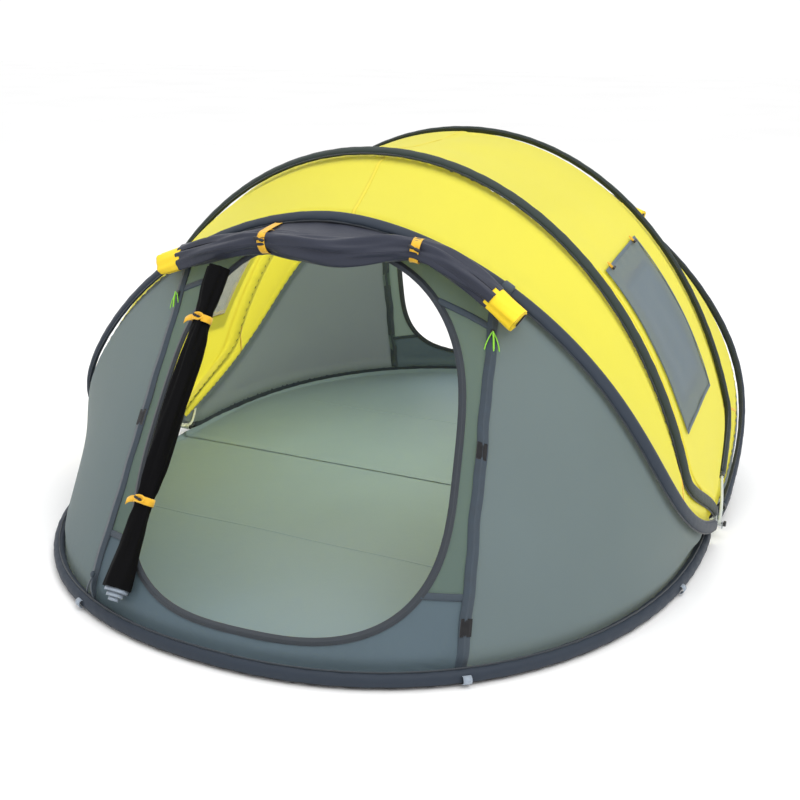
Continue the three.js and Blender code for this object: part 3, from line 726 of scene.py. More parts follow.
def seam_strip(name, panel, end, u0, u1, lift, look, width=0.011):
    """A flat-felled seam across a panel: a narrow raised fold on both faces."""
    v = np.linspace(0.01, 0.99, 40)[:, None]
    across = np.array([-1, -0.7, 0, 0.7, 1])[None, :]
    middle = u0 + (u1 - u0) * v
    half = width / 2 / panel.size()[1]
    u = middle + across * half
    v = np.broadcast_to(v, u.shape)
    rise = 0.0012 * (1 - (np.abs(across) > 0.9))
    outer = panel.lifted(u, v, lift(u, v) + rise)
    inner = panel.lifted(u, v, lift(u, v) - rise)
    points = np.concatenate([outer, inner[:, ::-1]], 1)
    piece = skin(name, end, points, look)
    return piece, np.concatenate([v, v[:, ::-1]], 1)


# ---------------------------------------------------------------- door frame
def opening(a):
    """The doorway's edge in the door wall's own shares, at angle a."""
    c, s = np.cos(a), np.sin(a)
    k = 2 / DOOR["power"]
    return (DOOR["middle"] + DOOR["half_width"] * np.sign(c) * np.abs(c) ** k,
            0.5 + DOOR["half_height"] * np.sign(s) * np.abs(s) ** k)


def frame_lift(u, v):
    edge = ease(np.minimum(v, 1 - v) * 8) * ease(np.minimum(u, 1 - u) * 12)
    return 0.0035 * ripple(u * 4, v * 3, 31) * edge + pucker(door_wall, u, v, depth=0.0014)


def make_door_frame(end):
    around, rings = 220, 16
    a = 2 * math.pi * (np.arange(around) + 0.5) / around
    c, s = np.cos(a), np.sin(a)
    most = np.maximum(np.abs(c), np.abs(s))
    inner, outer = opening(a), (0.5 + 0.5 * c / most, 0.5 + 0.5 * s / most)
    share = np.linspace(0, 1, rings)[:, None]
    u, v = (inner[k] + (outer[k] - inner[k]) * share for k in (0, 1))
    p = door_wall.lifted(u, v, frame_lift(u, v))
    faces = grid_faces(rings, around, wrap=True)
    sill = v.ravel()[faces].mean(1) > SILL
    size = door_wall.size()
    uv = np.stack([u * size[1], v * size[0]], -1)
    piece = make(f"door_frame_{end}_cloth", turn(end, p), faces, "sheer", uv, "sill", sill)
    on_wall(piece, end, v)
    cells = np.cross(np.diff(p, axis=0)[:, :-1], np.diff(p, axis=1)[:-1])
    area = np.linalg.norm(cells, axis=-1).sum() * around / (around - 1)
    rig.sheet(piece, flat=(size[0], size[1]), held="stretched", area=max(area, 0.31 * size[0] * size[1]),
             rests_on=[f"low_sleeve_{end}_cloth", f"ground_sleeve_{end}_cloth"])
    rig.replaces(piece, f"door_frame_{end}")
    door_rim(end)
    for k, (v0, side) in enumerate([(TOP_TAPE, 1), (SILL, 1), (TOP_TAPE, -1), (SILL, -1)]):
        cross_tape(f"frame_tape_{end}_{k + 1}", end, v0, side)


def profile_strip(name, end, panel, u, v, across, profile, look, base=0.0, closed=False):
    """A strip that follows a path (u, v) on a panel. profile is (across, out) pairs in metres and
    across is the direction across the strip, for each point of the path."""
    out = panel.normal(u, v)
    lift = frame_lift(u, v)[..., None] if panel is door_wall else 0.0
    centre = panel(u, v) + out * (base + lift)
    points = np.stack([centre + across * x + out * y for x, y in profile], 1)
    if closed:
        points = np.concatenate([points, points[:1]])
    piece = skin(name, end, points, look)
    down = np.broadcast_to(np.asarray(v)[:, None], (len(v), len(profile)))
    if closed:
        down = np.concatenate([down, down[:1]])
    return on_wall(piece, end, down), points


def tape_profile(width, thick, ridge=0.0, steps=(1, 0.92, 0.3, 0.16, 0)):
    """Cross-section of a sewn tape, lying on both faces of the cloth."""
    top = [(-width / 2 * s, thick * (s < 0.95) + ridge * (s < 0.2)) for s in steps]
    top += [(-x, y) for x, y in reversed(top[:-1])]
    return top + [(x, -y) for x, y in reversed(top)]


def door_rim(end):
    """The inner door's zip, sewn round the doorway."""
    a = np.linspace(0, 2 * math.pi, 241)[:-1]
    u, v = opening(a)
    ahead, back = opening(a + 0.01), opening(a - 0.01)
    along = unit(door_wall(*ahead) - door_wall(*back))
    across = np.cross(door_wall.normal(u, v), along)
    profile_strip(f"door_rim_{end}", end, door_wall, u, v, across,
                  tape_profile(0.020, 0.0026, 0.0022), "binding", base=0.0012, closed=True)


def cross_tape(name, end, v0, side):
    """A reinforcing tape from the doorway's rim to the outer zip."""
    half = 0.4995 if side > 0 else -0.4995
    edge = DOOR["half_width"] * (1 - abs((v0 - 0.5) / DOOR["half_height"]) ** DOOR["power"]) ** (
        1 / DOOR["power"])
    u = np.linspace(0.5 - half, DOOR["middle"] - math.copysign(edge, side), 24)
    v = np.full_like(u, v0)
    along = unit(door_wall(u + 1e-3, v) - door_wall(u - 1e-3, v))
    across = np.cross(door_wall.normal(u, v), along)
    profile_strip(name, end, door_wall, u, v, across, tape_profile(0.018, 0.0026), "tape", base=0.0012)


# ---------------------------------------------------------------- zips
def make_zip(end, side):
    u0 = 0.0 if side == "right" else 1.0
    v = np.linspace(0.004, 0.994, 90)
    u = np.full_like(v, u0)
    across = unit(door_wall(u + 1e-3, v) - door_wall(u - 1e-3, v))
    wander = 0.0015 * np.sin(v * 23) + 0.001 * np.sin(v * 51 + 1)
    base = (0.0022 + 0.0012 * np.sin(v * 17))[:, None]
    piece, _ = profile_strip(f"zip_tape_{end}_{side}_woven", end, door_wall, u + wander, v, across,
                             tape_profile(0.030, 0.0032, 0.0026), "tape", base=base)
    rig.replaces(piece, f"zip_tape_{end}_{side}")
    for k, v0 in enumerate(HOOK_TABS[side]):
        hook_tab(f"hook_tab_{end}_{side}_{k + 1}", end, u0, v0)
    make_pull(end, side)


def hook_tab(name, end, u0, v0, width=0.030, height=0.052):
    """A black hook-and-loop tab folded over the zip."""
    size = door_wall.size()
    rows, cols = 12, 10
    down = np.linspace(-0.5, 0.5, rows)[:, None] * height / size[0]
    side = np.linspace(-0.5, 0.5, cols)[None, :] * width / size[1]
    u, v = u0 + side + 0 * down, v0 + down + 0 * side
    edge = np.minimum(np.minimum(np.arange(rows)[:, None], rows - 1 - np.arange(rows)[:, None]),
                      np.minimum(np.arange(cols)[None, :], cols - 1 - np.arange(cols)[None, :]))
    crown = 0.0075 + 0.0012 * np.minimum(edge, 2) + 0.001 * np.sin(side * 900)
    top = door_wall.lifted(u, v, crown)
    foot = door_wall.lifted(u, v, np.full_like(crown, 0.0035))
    n = rows * cols
    faces = grid_faces(rows, cols)
    rim = np.concatenate([np.arange(cols), np.arange(1, rows) * cols + cols - 1,
                          n - 2 - np.arange(cols - 1), (rows - 2 - np.arange(rows - 2)) * cols])
    walls = [(a, b, b + n, a + n) for a, b in zip(rim, np.roll(rim, -1))]
    points = np.concatenate([top.reshape(-1, 3), foot.reshape(-1, 3)])
    face_uv = np.stack([side * size[1] + 0 * down, down * size[0] + 0 * side], -1)
    uv = np.concatenate([face_uv.reshape(-1, 2)] * 2)
    piece = make(name, turn(end, points), [*faces, *(faces[:, ::-1] + n), *walls], "velcro", uv)
    on_wall(piece, end, np.concatenate([v.ravel(), v.ravel()]))


def tube(name, end, line, radii, look, sides=10):
    """A round or flattened tube along points; radii is one number, one per point, or a grid."""
    line = np.asarray(line, float)
    along = unit(np.gradient(line, axis=0))
    aside = unit(np.cross(along, UP + 1e-3))
    for k in range(1, len(line)):  # carried along without twisting
        aside[k] = unit(aside[k - 1] - along[k] * np.dot(aside[k - 1], along[k]))
    top = np.cross(along, aside)
    a = 2 * math.pi * np.arange(sides) / sides
    r = np.broadcast_to(np.asarray(radii, float).reshape(-1, 1) if np.ndim(radii) < 2 else radii,
                        (len(line), sides))
    ring = (np.cos(a)[None, :, None] * aside[:, None] + np.sin(a)[None, :, None] * top[:, None])
    points = line[:, None] + r[..., None] * ring
    faces = [tuple(f) for f in grid_faces(len(line), sides, wrap=True)]
    last = (len(line) - 1) * sides
    faces += [tuple(range(sides)), tuple(last + k for k in reversed(range(sides)))]
    return make(name, turn(end, points), faces, look, grid_uv(points))


def wall_axes(panel, u, v):
    at, out = panel(u, v), panel.normal(u, v)
    up = unit(panel(u, v - 0.01) - panel(u, v + 0.01))
    return at, np.cross(up, out), up, out


def slab(name, end, outline, thick, look, axes):
    """A moulded plate: an outline in (across, up) metres, bevelled front and back."""
    at, across, up, out = axes
    outline = np.asarray(outline, float)
    middle = outline.mean(0)
    layers = [(0.82, 0), (1, 0.25), (1, 0.75), (0.82, 1)]
    points, n = [], len(outline)
    for shrink, depth in layers:
        shape = middle + (outline - middle) * shrink
        points += [at + across * x + up * y + out * depth * thick for x, y in shape]
    faces = [tuple(f) for f in grid_faces(4, n, wrap=True)]
    faces += [tuple(reversed(range(n))), tuple(3 * n + k for k in range(n))]
    return make(name, turn(end, np.array(points)), faces, look)


def rounded(width, height):
    """A rectangle's outline with soft corners."""
    a = 2 * math.pi * np.arange(20) / 20
    return np.stack([half / 2 * np.sign(k) * np.abs(k) ** 0.5
                     for half, k in ((width, np.cos(a)), (height, np.sin(a)))], -1)


def hanging_cord(name, end, start, body, length, lean, diameter=0.0032):
    """A short limp cord that hangs from start to a knot."""
    s = np.linspace(0, 1, 16)[:, None]
    drop = s * length
    sway = lean * (1 - (1 - s) ** 2) * length * 0.28
    line = start - UP * drop + sway
    step = np.linalg.norm(np.diff(line, axis=0), axis=1).sum()
    line = start + (line - start) * (length / step)
    piece = tube(name, end, line, diameter / 2, "lime", sides=8)
    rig.ride(piece, body)
    knot_line = line[-1] + unit(line[-1] - line[-2]) * np.linspace(-0.002, 0.007, 7)[:, None]
    radii = diameter * (0.55 + 0.65 * np.sin(math.pi * np.linspace(0.05, 0.95, 7)))
    knot = tube(f"{name}_knot", end, knot_line, radii, "lime", sides=9)
    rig.ride(knot, body)
    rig.cord(piece, exit=tuple(turn(end, start)), length=length, diameter=diameter, far_end="knot",
            stiffness="limp", lay="hanging", path=turn(end, line).tolist(), with_pieces=[knot])


def make_pull(end, side):
    """Slider with its lime pull cord, on the outer zip."""
    body = f"zip_{end}_{side}"
    u0 = 0.0 if side == "right" else 1.0
    at, across, up, out = wall_axes(door_wall, u0, SLIDER)
    lifted = at + out * 0.0075
    slider = slab(f"zip_slider_{end}_{side}", end, rounded(0.013, 0.019), 0.0045, "black",
                  (lifted, across, up, out))
    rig.ride(slider, body)
    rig.replaces(slider, f"zip_pull_{end}_{side}")
    bridge = tube(f"zip_bridge_{end}_{side}", end,
                  [lifted + out * (0.004 + 0.004 * math.sin(math.pi * k)) + up * 0.012 * (0.5 - k)
                   for k in np.linspace(0, 1, 9)], 0.0012, "steel", sides=8)
    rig.ride(bridge, body)
    eye = lifted + out * 0.008
    for k, lean in enumerate((-1.0, 0.9)):
        start = eye + across * 0.0022 * lean
        hanging_cord(f"pull_cord_{end}_{side}_{k + 1}", end, start, body, 0.072 - 0.008 * k,
                     across * lean + out * 0.5)
    hanging_cord(f"pull_grip_{end}_{side}", end, eye + up * 0.002 + out * 0.004, body, 0.055,
                 out * 0.7 + across * 0.1, diameter=0.005)


# ---------------------------------------------------------------- sleeves
def away_from_middle(p, along):
    """The direction out of the tent at points on a hoop, square to the hoop."""
    out = p - np.array(MIDDLE)
    return unit(out - dot(out, along) * along)


def make_sleeve(end, name, line):
    """A gathered fabric tube round a pole, with a cuff at each end."""
    flat, deep = SLEEVE[name]
    look = {"high": "green"}.get(name, "navy")
    count, sides = 420, 20
    t = np.linspace(*SLEEVE_ENDS[name], count)
    p = line(t)
    along = line.along(t)
    out = away_from_middle(p, along)
    across = np.cross(along, out)
    a = 2 * math.pi * (np.arange(sides + 1) + 0.5) / sides  # the cloth's two edges meet at a seam
    k = 2 / 2.6
    x = flat / 2 * np.sign(np.cos(a)) * np.abs(np.cos(a)) ** k
    y = deep / 2 * np.sign(np.sin(a)) * np.abs(np.sin(a)) ** k
    metres = (t * line.length)[:, None]
    folds = 0.018 * np.sin(metres / 0.046 * 6.28 + 2.2 * a + 1.5 * np.sin(metres / 0.31))
    folds += 0.022 * np.sin(metres / 0.083 * 6.28 - 3 * a + 2.1 * np.sin(metres / 0.47))
    pinch = 1 - 0.30 * np.maximum(bump(t, t[0], 0.004), bump(t, t[-1], 0.004))[:, None]
    size = (1 + folds) * pinch
    points = p[:, None] + (x * size)[..., None] * across[:, None] + (y * size)[..., None] * out[:, None]
    if name == "ground":
        points[..., 2] = np.maximum(points[..., 2], 0.0022)
    faces = grid_faces(count, sides + 1)
    uv = np.stack([np.broadcast_to(a / (2 * math.pi) * 1.3 * (flat + deep), (count, sides + 1)),
                   np.broadcast_to(metres, (count, sides + 1))], -1)
    under = None
    if name == "ground":
        # faces under the ground sleeve's middle take the near-black cloth: partly the floor cloth's dark edge, partly
        # painted shade where the sleeve meets the floor
        centre = points.mean(1, keepdims=True)
        under = ((points[..., 2] - centre[..., 2]) < -0.006).ravel()[faces].all(1)
    piece = make(f"{name}_sleeve_{end}_cloth", turn(end, points), faces, look, uv,
                 "lip" if under is not None else None, under)
    body = f"{end}_half" if name == "ground" else f"{end}_hoops"
    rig.ride(piece, body)
    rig.replaces(piece, f"{name}_sleeve_{end}")
    girth = np.linalg.norm(np.diff(points[200], axis=0), axis=1).sum()
    long = (t[-1] - t[0]) * line.length
    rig.sheet(piece, flat=(girth, long), held="stretched", rests_on=[f"{name}_pole_{end}"])
    flange(end, name, across, out, p, flat, body)
    for k, at in enumerate((0, -1)):
        cuff(f"{name}_cuff_{end}_{k + 1}", end, line, t[at], flat, deep, body)


def flange(end, name, across, out, p, flat, body):
    """The stitched edge of the sleeve, where it's sewn to the panels."""
    rows = []
    for side in (-1, 1):
        x = side * (flat / 2 - 0.001) + side * np.array([0, 0.0045, 0.0045, 0])
        y = np.array([0.0016, 0.0011, -0.0011, -0.0016])
        rows.append(p[::2, None] + x[:, None] * across[::2, None] + y[:, None] * out[::2, None])
    n = rows[0].shape[0]
    points = np.concatenate([r.reshape(-1, 3) for r in rows])
    faces = grid_faces(n, 4, wrap=True)
    faces = np.concatenate([faces, faces + n * 4])
    points[:, 2] = np.maximum(points[:, 2], 0.002)
    uv = np.concatenate([grid_uv(r).reshape(-1, 2) for r in rows])
    piece = make(f"{name}_seam_{end}", turn(end, points), faces, "binding", uv)
    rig.ride(piece, body)


def cuff(name, end, line, at, flat, deep, body):
    """A dark binding round the sleeve's mouth."""
    step = np.linspace(-0.0045, 0.0045, 7) / line.length * 1.4
    p, along = line(at + step), line.along(at + step)
    out = away_from_middle(p, along)
    across = np.cross(along, out)
    a = 2 * math.pi * np.arange(18) / 18
    swell = (0.78 + 0.08 * np.sin(np.linspace(0, math.pi, 7)))[:, None]
    points = (p[:, None] + (flat / 2 * swell * np.cos(a))[..., None] * across[:, None]
              + (deep / 2 * swell * np.sin(a))[..., None] * out[:, None])
    points[..., 2] = np.maximum(points[..., 2], 0.002)
    faces = [tuple(f) for f in grid_faces(7, 18, wrap=True)]
    faces += [tuple(range(18)), tuple(6 * 18 + k for k in reversed(range(18)))]
    piece = make(name, turn(end, points), faces, "binding", grid_uv(points))
    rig.ride(piece, body)


# ---------------------------------------------------------------- rolled outer door
ROLL_OUT = 0.046
ROLL_RADIUS = 0.035
ROLL_PATH = [(0.35, 0.072), (0.39, 0.052), (0.43, 0.047), (0.482, 0.094), (0.539, 0.079),
             (0.585, 0.072), (0.641, 0.052)]
STRAPS = (2, 4)
BORDER_LENGTH = 0.095


def spline(points, per=40):
    """A smooth line through points."""
    p = np.asarray(points, float)
    ends = np.concatenate([[2 * p[0] - p[1]], p, [2 * p[-1] - p[-2]]])
    rows = []
    for i in range(len(p) - 1):
        a, b, c, d = ends[i:i + 4]
        s = np.linspace(0, 1, per, endpoint=i == len(p) - 2)[:, None]
        rows.append(0.5 * (2 * b + (c - a) * s + (2 * a - 5 * b + 4 * c - d) * s**2
                           + (3 * b - a - 3 * c + d) * s**3))
    return Line(np.concatenate(rows))


def roll_points():
    t, v = np.array(ROLL_PATH).T
    return whole_wall(t, v) + whole_wall.normal(t, v) * ROLL_OUT


roll_line = spline(roll_points())
strap_shares = [float(np.interp(k * 40, np.arange(len(roll_line.shares)), roll_line.shares))
                for k in STRAPS]


def roll_axes(s):
    p, along = roll_line(s), roll_line.along(s, 0.01)
    aside = unit(np.cross(UP, along))
    aside = aside * np.where(aside[..., 1:2] > 0, -1, 1)  # towards the front
    top = np.cross(aside, along)
    return p, along, aside, top * np.where(top[..., 2:3] < 0, -1, 1)


def rolled(s, radius, fold_share=1.0, sides=40):
    """Rolled cloth: lengthwise folds that wander, gathered where a strap holds it. fold_share is
    how deep the folds are."""
    p, _, aside, top = roll_axes(s)
    a = 2 * math.pi * np.arange(sides) / sides
    metres = (s * roll_line.length)[:, None]
    held = sum(bump(s, k, 0.07) for k in strap_shares)[:, None]
    loose = 1 - 0.8 * held
    folds = 0.0044 * np.sin(3 * a + metres * 9) + 0.0036 * np.sin(5 * a - metres * 14 + 1.1)
    folds += 0.0026 * np.sin(9 * a + metres * 21 + 0.4) * loose
    gathers = 0.0024 * held * np.sin(13 * a + metres * 3) + 0.0011 * np.sin(metres * 95 + 2 * a) * held
    sag = 0.009 * loose * np.maximum(0, -np.sin(a)) * ease(1 - np.abs(s - 0.52) / 0.2)[:, None]
    r = radius * (1 - 0.13 * held) + (folds + gathers) * fold_share + sag
    edge = 0.55 * (a > 5.2) * (a < 5.6) * 0.004  # the free edge of the last turn
    r = r + edge
    ring = np.cos(a)[None, :, None] * aside[:, None] + 0.92 * np.sin(a)[None, :, None] * top[:, None]
    points = p[:, None] + r[..., None] * ring
    faces = [tuple(f) for f in grid_faces(len(s), sides, wrap=True)]
    uv = np.stack([np.broadcast_to(a * radius, r.shape), np.broadcast_to(metres, r.shape)], -1)
    return points, faces, uv


def spiral_end(points, at, outward_dir, depth=0.010, turns=4):
    """Rings inward from a rolled end, stepped like the layers of a roll, closing it."""
    ring = points[at]
    centre = ring.mean(0)
    sides = len(ring)
    a = np.arange(sides) / sides
    rings = []
    for share in np.linspace(0.94, 0.06, 15):
        layer = (share * turns + a) % 1.0
        step = depth * (0.25 + 0.75 * ease(layer * 2.2)) * (0.4 + 0.6 * share) - depth
        rings.append(centre + (ring - centre) * share + outward_dir * (step + depth * 0.4)[:, None])
    return np.array(rings)


def capped(name, end, points, faces, uv, look, along_out):
    """Adds stepped spiral ends to a roll; along_out is (which end, direction) pairs."""
    sides = points.shape[1]
    all_points = [points.reshape(-1, 3)]
    all_faces, all_uv = list(faces), [uv.reshape(-1, 2)]
    total = points.shape[0] * sides
    for at, direction in along_out:
        rings = spiral_end(points, at, direction)
        first = (points.shape[0] - 1) * sides if at == -1 else 0
        base = np.concatenate([[first], total + np.arange(len(rings)) * sides])
        for b0, b1 in zip(base[:-1], base[1:]):
            for k in range(sides):
                m = (k + 1) % sides
                quad = (b0 + k, b0 + m, b1 + m, b1 + k)
                all_faces.append(quad if at == 0 else quad[::-1])
        last = base[-1] + np.arange(sides)
        all_faces.append(tuple(last if at == 0 else last[::-1]))
        all_points.append(rings.reshape(-1, 3))
        all_uv.append(np.stack([np.tile(np.arange(sides) * 0.004, len(rings)),
                                np.repeat(np.arange(len(rings)) * 0.003, sides)], -1))
        total += rings.shape[0] * sides
    return make(name, turn(end, np.concatenate(all_points)), all_faces, look, np.concatenate(all_uv))


def make_door_roll(end):
    body = f"{end}_hoops"
    border = BORDER_LENGTH / roll_line.length
    s = np.linspace(border - 0.012, 1 - border + 0.012, 190)
    points, faces, uv = rolled(s, ROLL_RADIUS)
    faces += [tuple(range(40)), tuple(189 * 40 + k for k in reversed(range(40)))]
    piece = make(f"door_roll_{end}_cloth", turn(end, points), faces, "door", uv)
    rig.ride(piece, body)
    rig.replaces(piece, f"door_roll_{end}")
    for side, s0, s1, at in (("right", 0.0, border, 0), ("left", 1 - border, 1.0, -1)):
        s = np.linspace(s0, s1, 30)
        points, faces, uv = rolled(s, ROLL_RADIUS - 0.0015, fold_share=0.5)
        inner = -1 if at == 0 else 0
        outward_dir = -roll_line.along(0.0) if at == 0 else roll_line.along(1.0)
        piece = capped(f"roll_border_{end}_{side}_cloth", end, points, faces, uv, "amber",
                       [(at, outward_dir), (inner, -outward_dir * 0.3)])
        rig.ride(piece, body)
        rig.replaces(piece, f"roll_border_{end}_{side}")
        border_details(end, side, s0 if at == 0 else s1, outward_dir, body)
    door_top(end, body)
    for k, share in enumerate(strap_shares):
        roll_strap(end, k + 1, share, body)


def border_details(end, side, s, outward_dir, body):
    """The black hook tape on the roll's end."""
    p, _, aside, top = roll_axes(np.array([s]))
    p, aside, top = p[0], aside[0], top[0]
    axes = (p + outward_dir * 0.003 + top * 0.004, aside, top, outward_dir)
    patch = slab(f"roll_tab_{end}_{side}", end, rounded(0.016, 0.040), 0.004, "velcro", axes)
    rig.ride(patch, body)


def door_top(end, body):
    """The slack top of the outer door, from the low hoop's seam down into the roll."""
    t = np.linspace(0.362, 0.624, 110)
    share = (t - 0.35) / (0.641 - 0.35)
    p, _, aside, top = roll_axes(share)
    start = whole_wall(t, np.zeros_like(t)) + whole_wall.normal(t, np.zeros_like(t)) * 0.004
    goal = p + top * (ROLL_RADIUS * 0.62) + aside * (ROLL_RADIUS * 0.55)
    k = np.linspace(0, 1, 22)[None, :, None]
    slack = ease(np.minimum(share, 1 - share) * 4)[:, None]
    u = t[:, None] + 0 * k[..., 0]
    fold = (0.020 * np.sin(math.pi * k[..., 0]) * slack
            + 0.006 * np.sin(k[..., 0] * 9 + 14 * u + 2 * np.sin(u * 40)) * np.sin(math.pi * k[..., 0])
            + 0.0045 * np.sin(u * 260 + k[..., 0] * 5) * np.sin(math.pi * k[..., 0]) * slack)
    points = start[:, None] * (1 - k) + goal[:, None] * k + aside[:, None] * fold[..., None]
    points = points - UP * (0.004 * np.sin(math.pi * k))
    piece = skin(f"door_top_{end}_cloth", end, points, "door", wrap=False)
    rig.ride(piece, body)
    smooth = 0.02 * np.sin(math.pi * k) * slack[..., None]
    unfolded = start[:, None] * (1 - k) + goal[:, None] * k + aside[:, None] * smooth
    cloth(piece, grid_size(unfolded), held="hung",
          rests_on=[f"low_sleeve_{end}_cloth", f"door_roll_{end}_cloth"])


def roll_strap(end, number, share, body):
    """An amber strap from the hoop seam, round the roll and back to its toggle."""
    p, along, aside, top = (x[0] for x in roll_axes(np.array([share])))
    t = 0.35 + (0.641 - 0.35) * share
    anchor = whole_wall(t, 0.012) + whole_wall.normal(t, 0.012) * 0.016
    a = np.linspace(math.radians(60), math.radians(60 - 360), 64)
    r = ROLL_RADIUS * 0.9 + 0.0030 + 0.0014 * np.sin(3 * a)
    loop = p + (r * np.cos(a))[:, None] * aside + (r * 0.96 * np.sin(a))[:, None] * top
    rise = np.linspace(0, 1, 14)[1:, None]
    start = loop[0]
    lead = start + (anchor + aside * 0.012 - start) * rise + aside * (0.008 * np.sin(math.pi * rise))
    line = np.concatenate([lead[::-1], loop])
    width = np.linspace(-0.5, 0.5, 5)
    flow = unit(np.gradient(line, axis=0))
    face = unit(np.cross(flow, along))
    curl = 0.0012 * np.cos(width * math.pi)
    points = [line[:, None] + along * (width * 0.024)[None, :, None]
              + face[:, None] * (k * 0.0012 + curl)[None, :, None] for k in (0, 1)]
    webbing_rows = np.concatenate([points[0], points[1][:, ::-1]], 1)
    piece = skin(f"roll_strap_{end}_{number}_webbing", end, webbing_rows, "strap")
    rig.ride(piece, body)
    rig.replaces(piece, f"roll_strap_{end}_{number}")
    middle = p + aside * (ROLL_RADIUS + 0.0075) + top * 0.012
    toggle(f"roll_toggle_{end}_{number}_moulded", end, middle, along * 0.9 + top * 0.25, 0.034, body,
           f"roll_toggle_{end}_{number}")


def toggle(name, end, middle, axis, length, body, node=None, radius=0.0046):
    """A barrel toggle with a waist for its cord."""
    s = np.linspace(-1, 1, 19)
    axis = unit(np.asarray(axis, float))
    line = middle + axis * (s * length / 2)[:, None]
    waist = 1 - 0.32 * np.exp(-(s / 0.16) ** 2)
    ends = np.sqrt(np.clip(1 - ((np.abs(s) - 0.72) / 0.29).clip(0) ** 2, 0.02, 1))
    piece = tube(name, end, line, radius * waist * ends, "black", sides=14)
    if body:
        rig.ride(piece, body)
    if node:
        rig.replaces(piece, node)
    return piece


# ---------------------------------------------------------------- rolled mesh door
MESH_U, MESH_V, MESH_OUT = (0.815, 0.865), (0.16, 0.93), 0.036
TIE_V = (0.26, 0.72)


def mesh_roll_at(v):
    v = np.asarray(v, float)
    u = MESH_U[0] + (MESH_U[1] - MESH_U[0]) * v
    return door_wall(u, v) + door_wall.normal(u, v) * MESH_OUT


def make_mesh_roll(end):
    count, sides = 150, 30
    v = np.linspace(MESH_V[0] - 0.035, MESH_V[1], count)
    line = mesh_roll_at(v)
    tied = sum(bump(v, k, 0.10) for k in TIE_V)
    radius = 0.0285 - 0.0065 * tied + 0.010 * ease((v - 0.80) / 0.13) + 0.004 * ease((0.25 - v) / 0.1)
    a = 2 * math.pi * np.arange(sides) / sides
    metres = (v * 1.0)[:, None]
    folds = 0.0030 * np.sin(4 * a + metres * 8) + 0.0022 * np.sin(7 * a - metres * 15)
    folds = folds + 0.0012 * np.sin(metres * 120 + 3 * a) * tied[:, None]
    piece = tube(f"mesh_roll_{end}_net", end, line, radius[:, None] + folds, "net", sides=sides)
    on_wall(piece, end, np.repeat(v, sides))
    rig.replaces(piece, f"mesh_roll_{end}")
    foot = line[-1]
    along = unit(line[-1] - line[-3])
    for k, (size, drop) in enumerate([(1.0, 0.000), (0.72, 0.012), (0.44, 0.022)]):
        bound_edge(f"mesh_binding_{end}_{k + 1}", end, foot + along * drop, along, 0.034 * size, v[-1])
    for k, at in enumerate(TIE_V):
        tie(end, k + 1, at)


def bound_edge(name, end, centre, along, radius, v):
    """A turn of the roll's bound lower edge."""
    aside = unit(np.cross(along, UP + 1e-3))
    top = np.cross(along, aside)
    a = np.linspace(0.3, 2 * math.pi * 0.94, 40)
    r = radius * (1 - 0.10 * a / 6.28 + 0.04 * np.sin(4 * a))
    ring = (np.cos(a) * r)[:, None] * aside + (np.sin(a) * r)[:, None] * top
    rows = []
    for depth, k in ((0, 1.0), (0.010, 1.0), (0.010, 0.95), (0, 0.95)):
        rows.append(centre + ring * k + along * depth)
    points = np.stack(rows, 1)
    piece = skin(name, end, points, "tag")
    on_wall(piece, end, v)


def tie(end, number, v):
    """A short amber strap round the rolled mesh, with its loop and toggle."""
    at = mesh_roll_at(v)
    along = unit(mesh_roll_at(v + 0.01) - mesh_roll_at(v - 0.01))
    aside = unit(np.cross(along, UP + 1e-3))
    aside = aside if aside[0] > 0 else -aside
    top = np.cross(along, aside)
    top = top if top[1] < 0 else -top
    a = np.linspace(0, 2 * math.pi, 49)[:-1]
    r = 0.0262 + 0.001 * np.sin(3 * a)
    rows = []
    for x, k in ((-0.5, 1), (-0.42, 1.06), (0, 1.07), (0.42, 1.06), (0.5, 1), (0, 0.98)):
        ring = (np.cos(a) * r * k)[:, None] * aside + (np.sin(a) * r * k)[:, None] * top
        rows.append(at + ring + along * (x * 0.021 + 0.0015 * np.sin(2 * a))[:, None])
    points = np.stack(rows, 1)
    points = np.concatenate([points, points[:1]])
    piece = skin(f"mesh_tie_{end}_{number}_webbing", end, points, "strap")
    on_wall(piece, end, v)
    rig.replaces(piece, f"mesh_tie_{end}_{number}")
    front = at + top * 0.0305 - aside * 0.004
    bar = toggle(f"tie_toggle_{end}_{number}", end, front, along * 0.3 + aside, 0.026, None, radius=0.0038)
    on_wall(bar, end, v)
    loop_line = [front + aside * (0.016 * math.cos(k) + 0.006) + along * 0.009 * math.sin(k) + top * 0.003
                 for k in np.linspace(-2.4, 2.4, 22)]
    loop = tube(f"tie_loop_{end}_{number}", end, loop_line, 0.0021, "strap", sides=8)
    on_wall(loop, end, v)
    tail = np.linspace(0, 1, 14)[:, None]
    tail_line = at - aside * 0.026 + top * 0.012 - aside * 0.026 * tail - UP * 0.012 * tail**2
    points = ribbon(tail_line, along * 0.018, top * 0.0014)
    tab = skin(f"tie_tab_{end}_{number}", end, points, "strap")
    on_wall(tab, end, v)


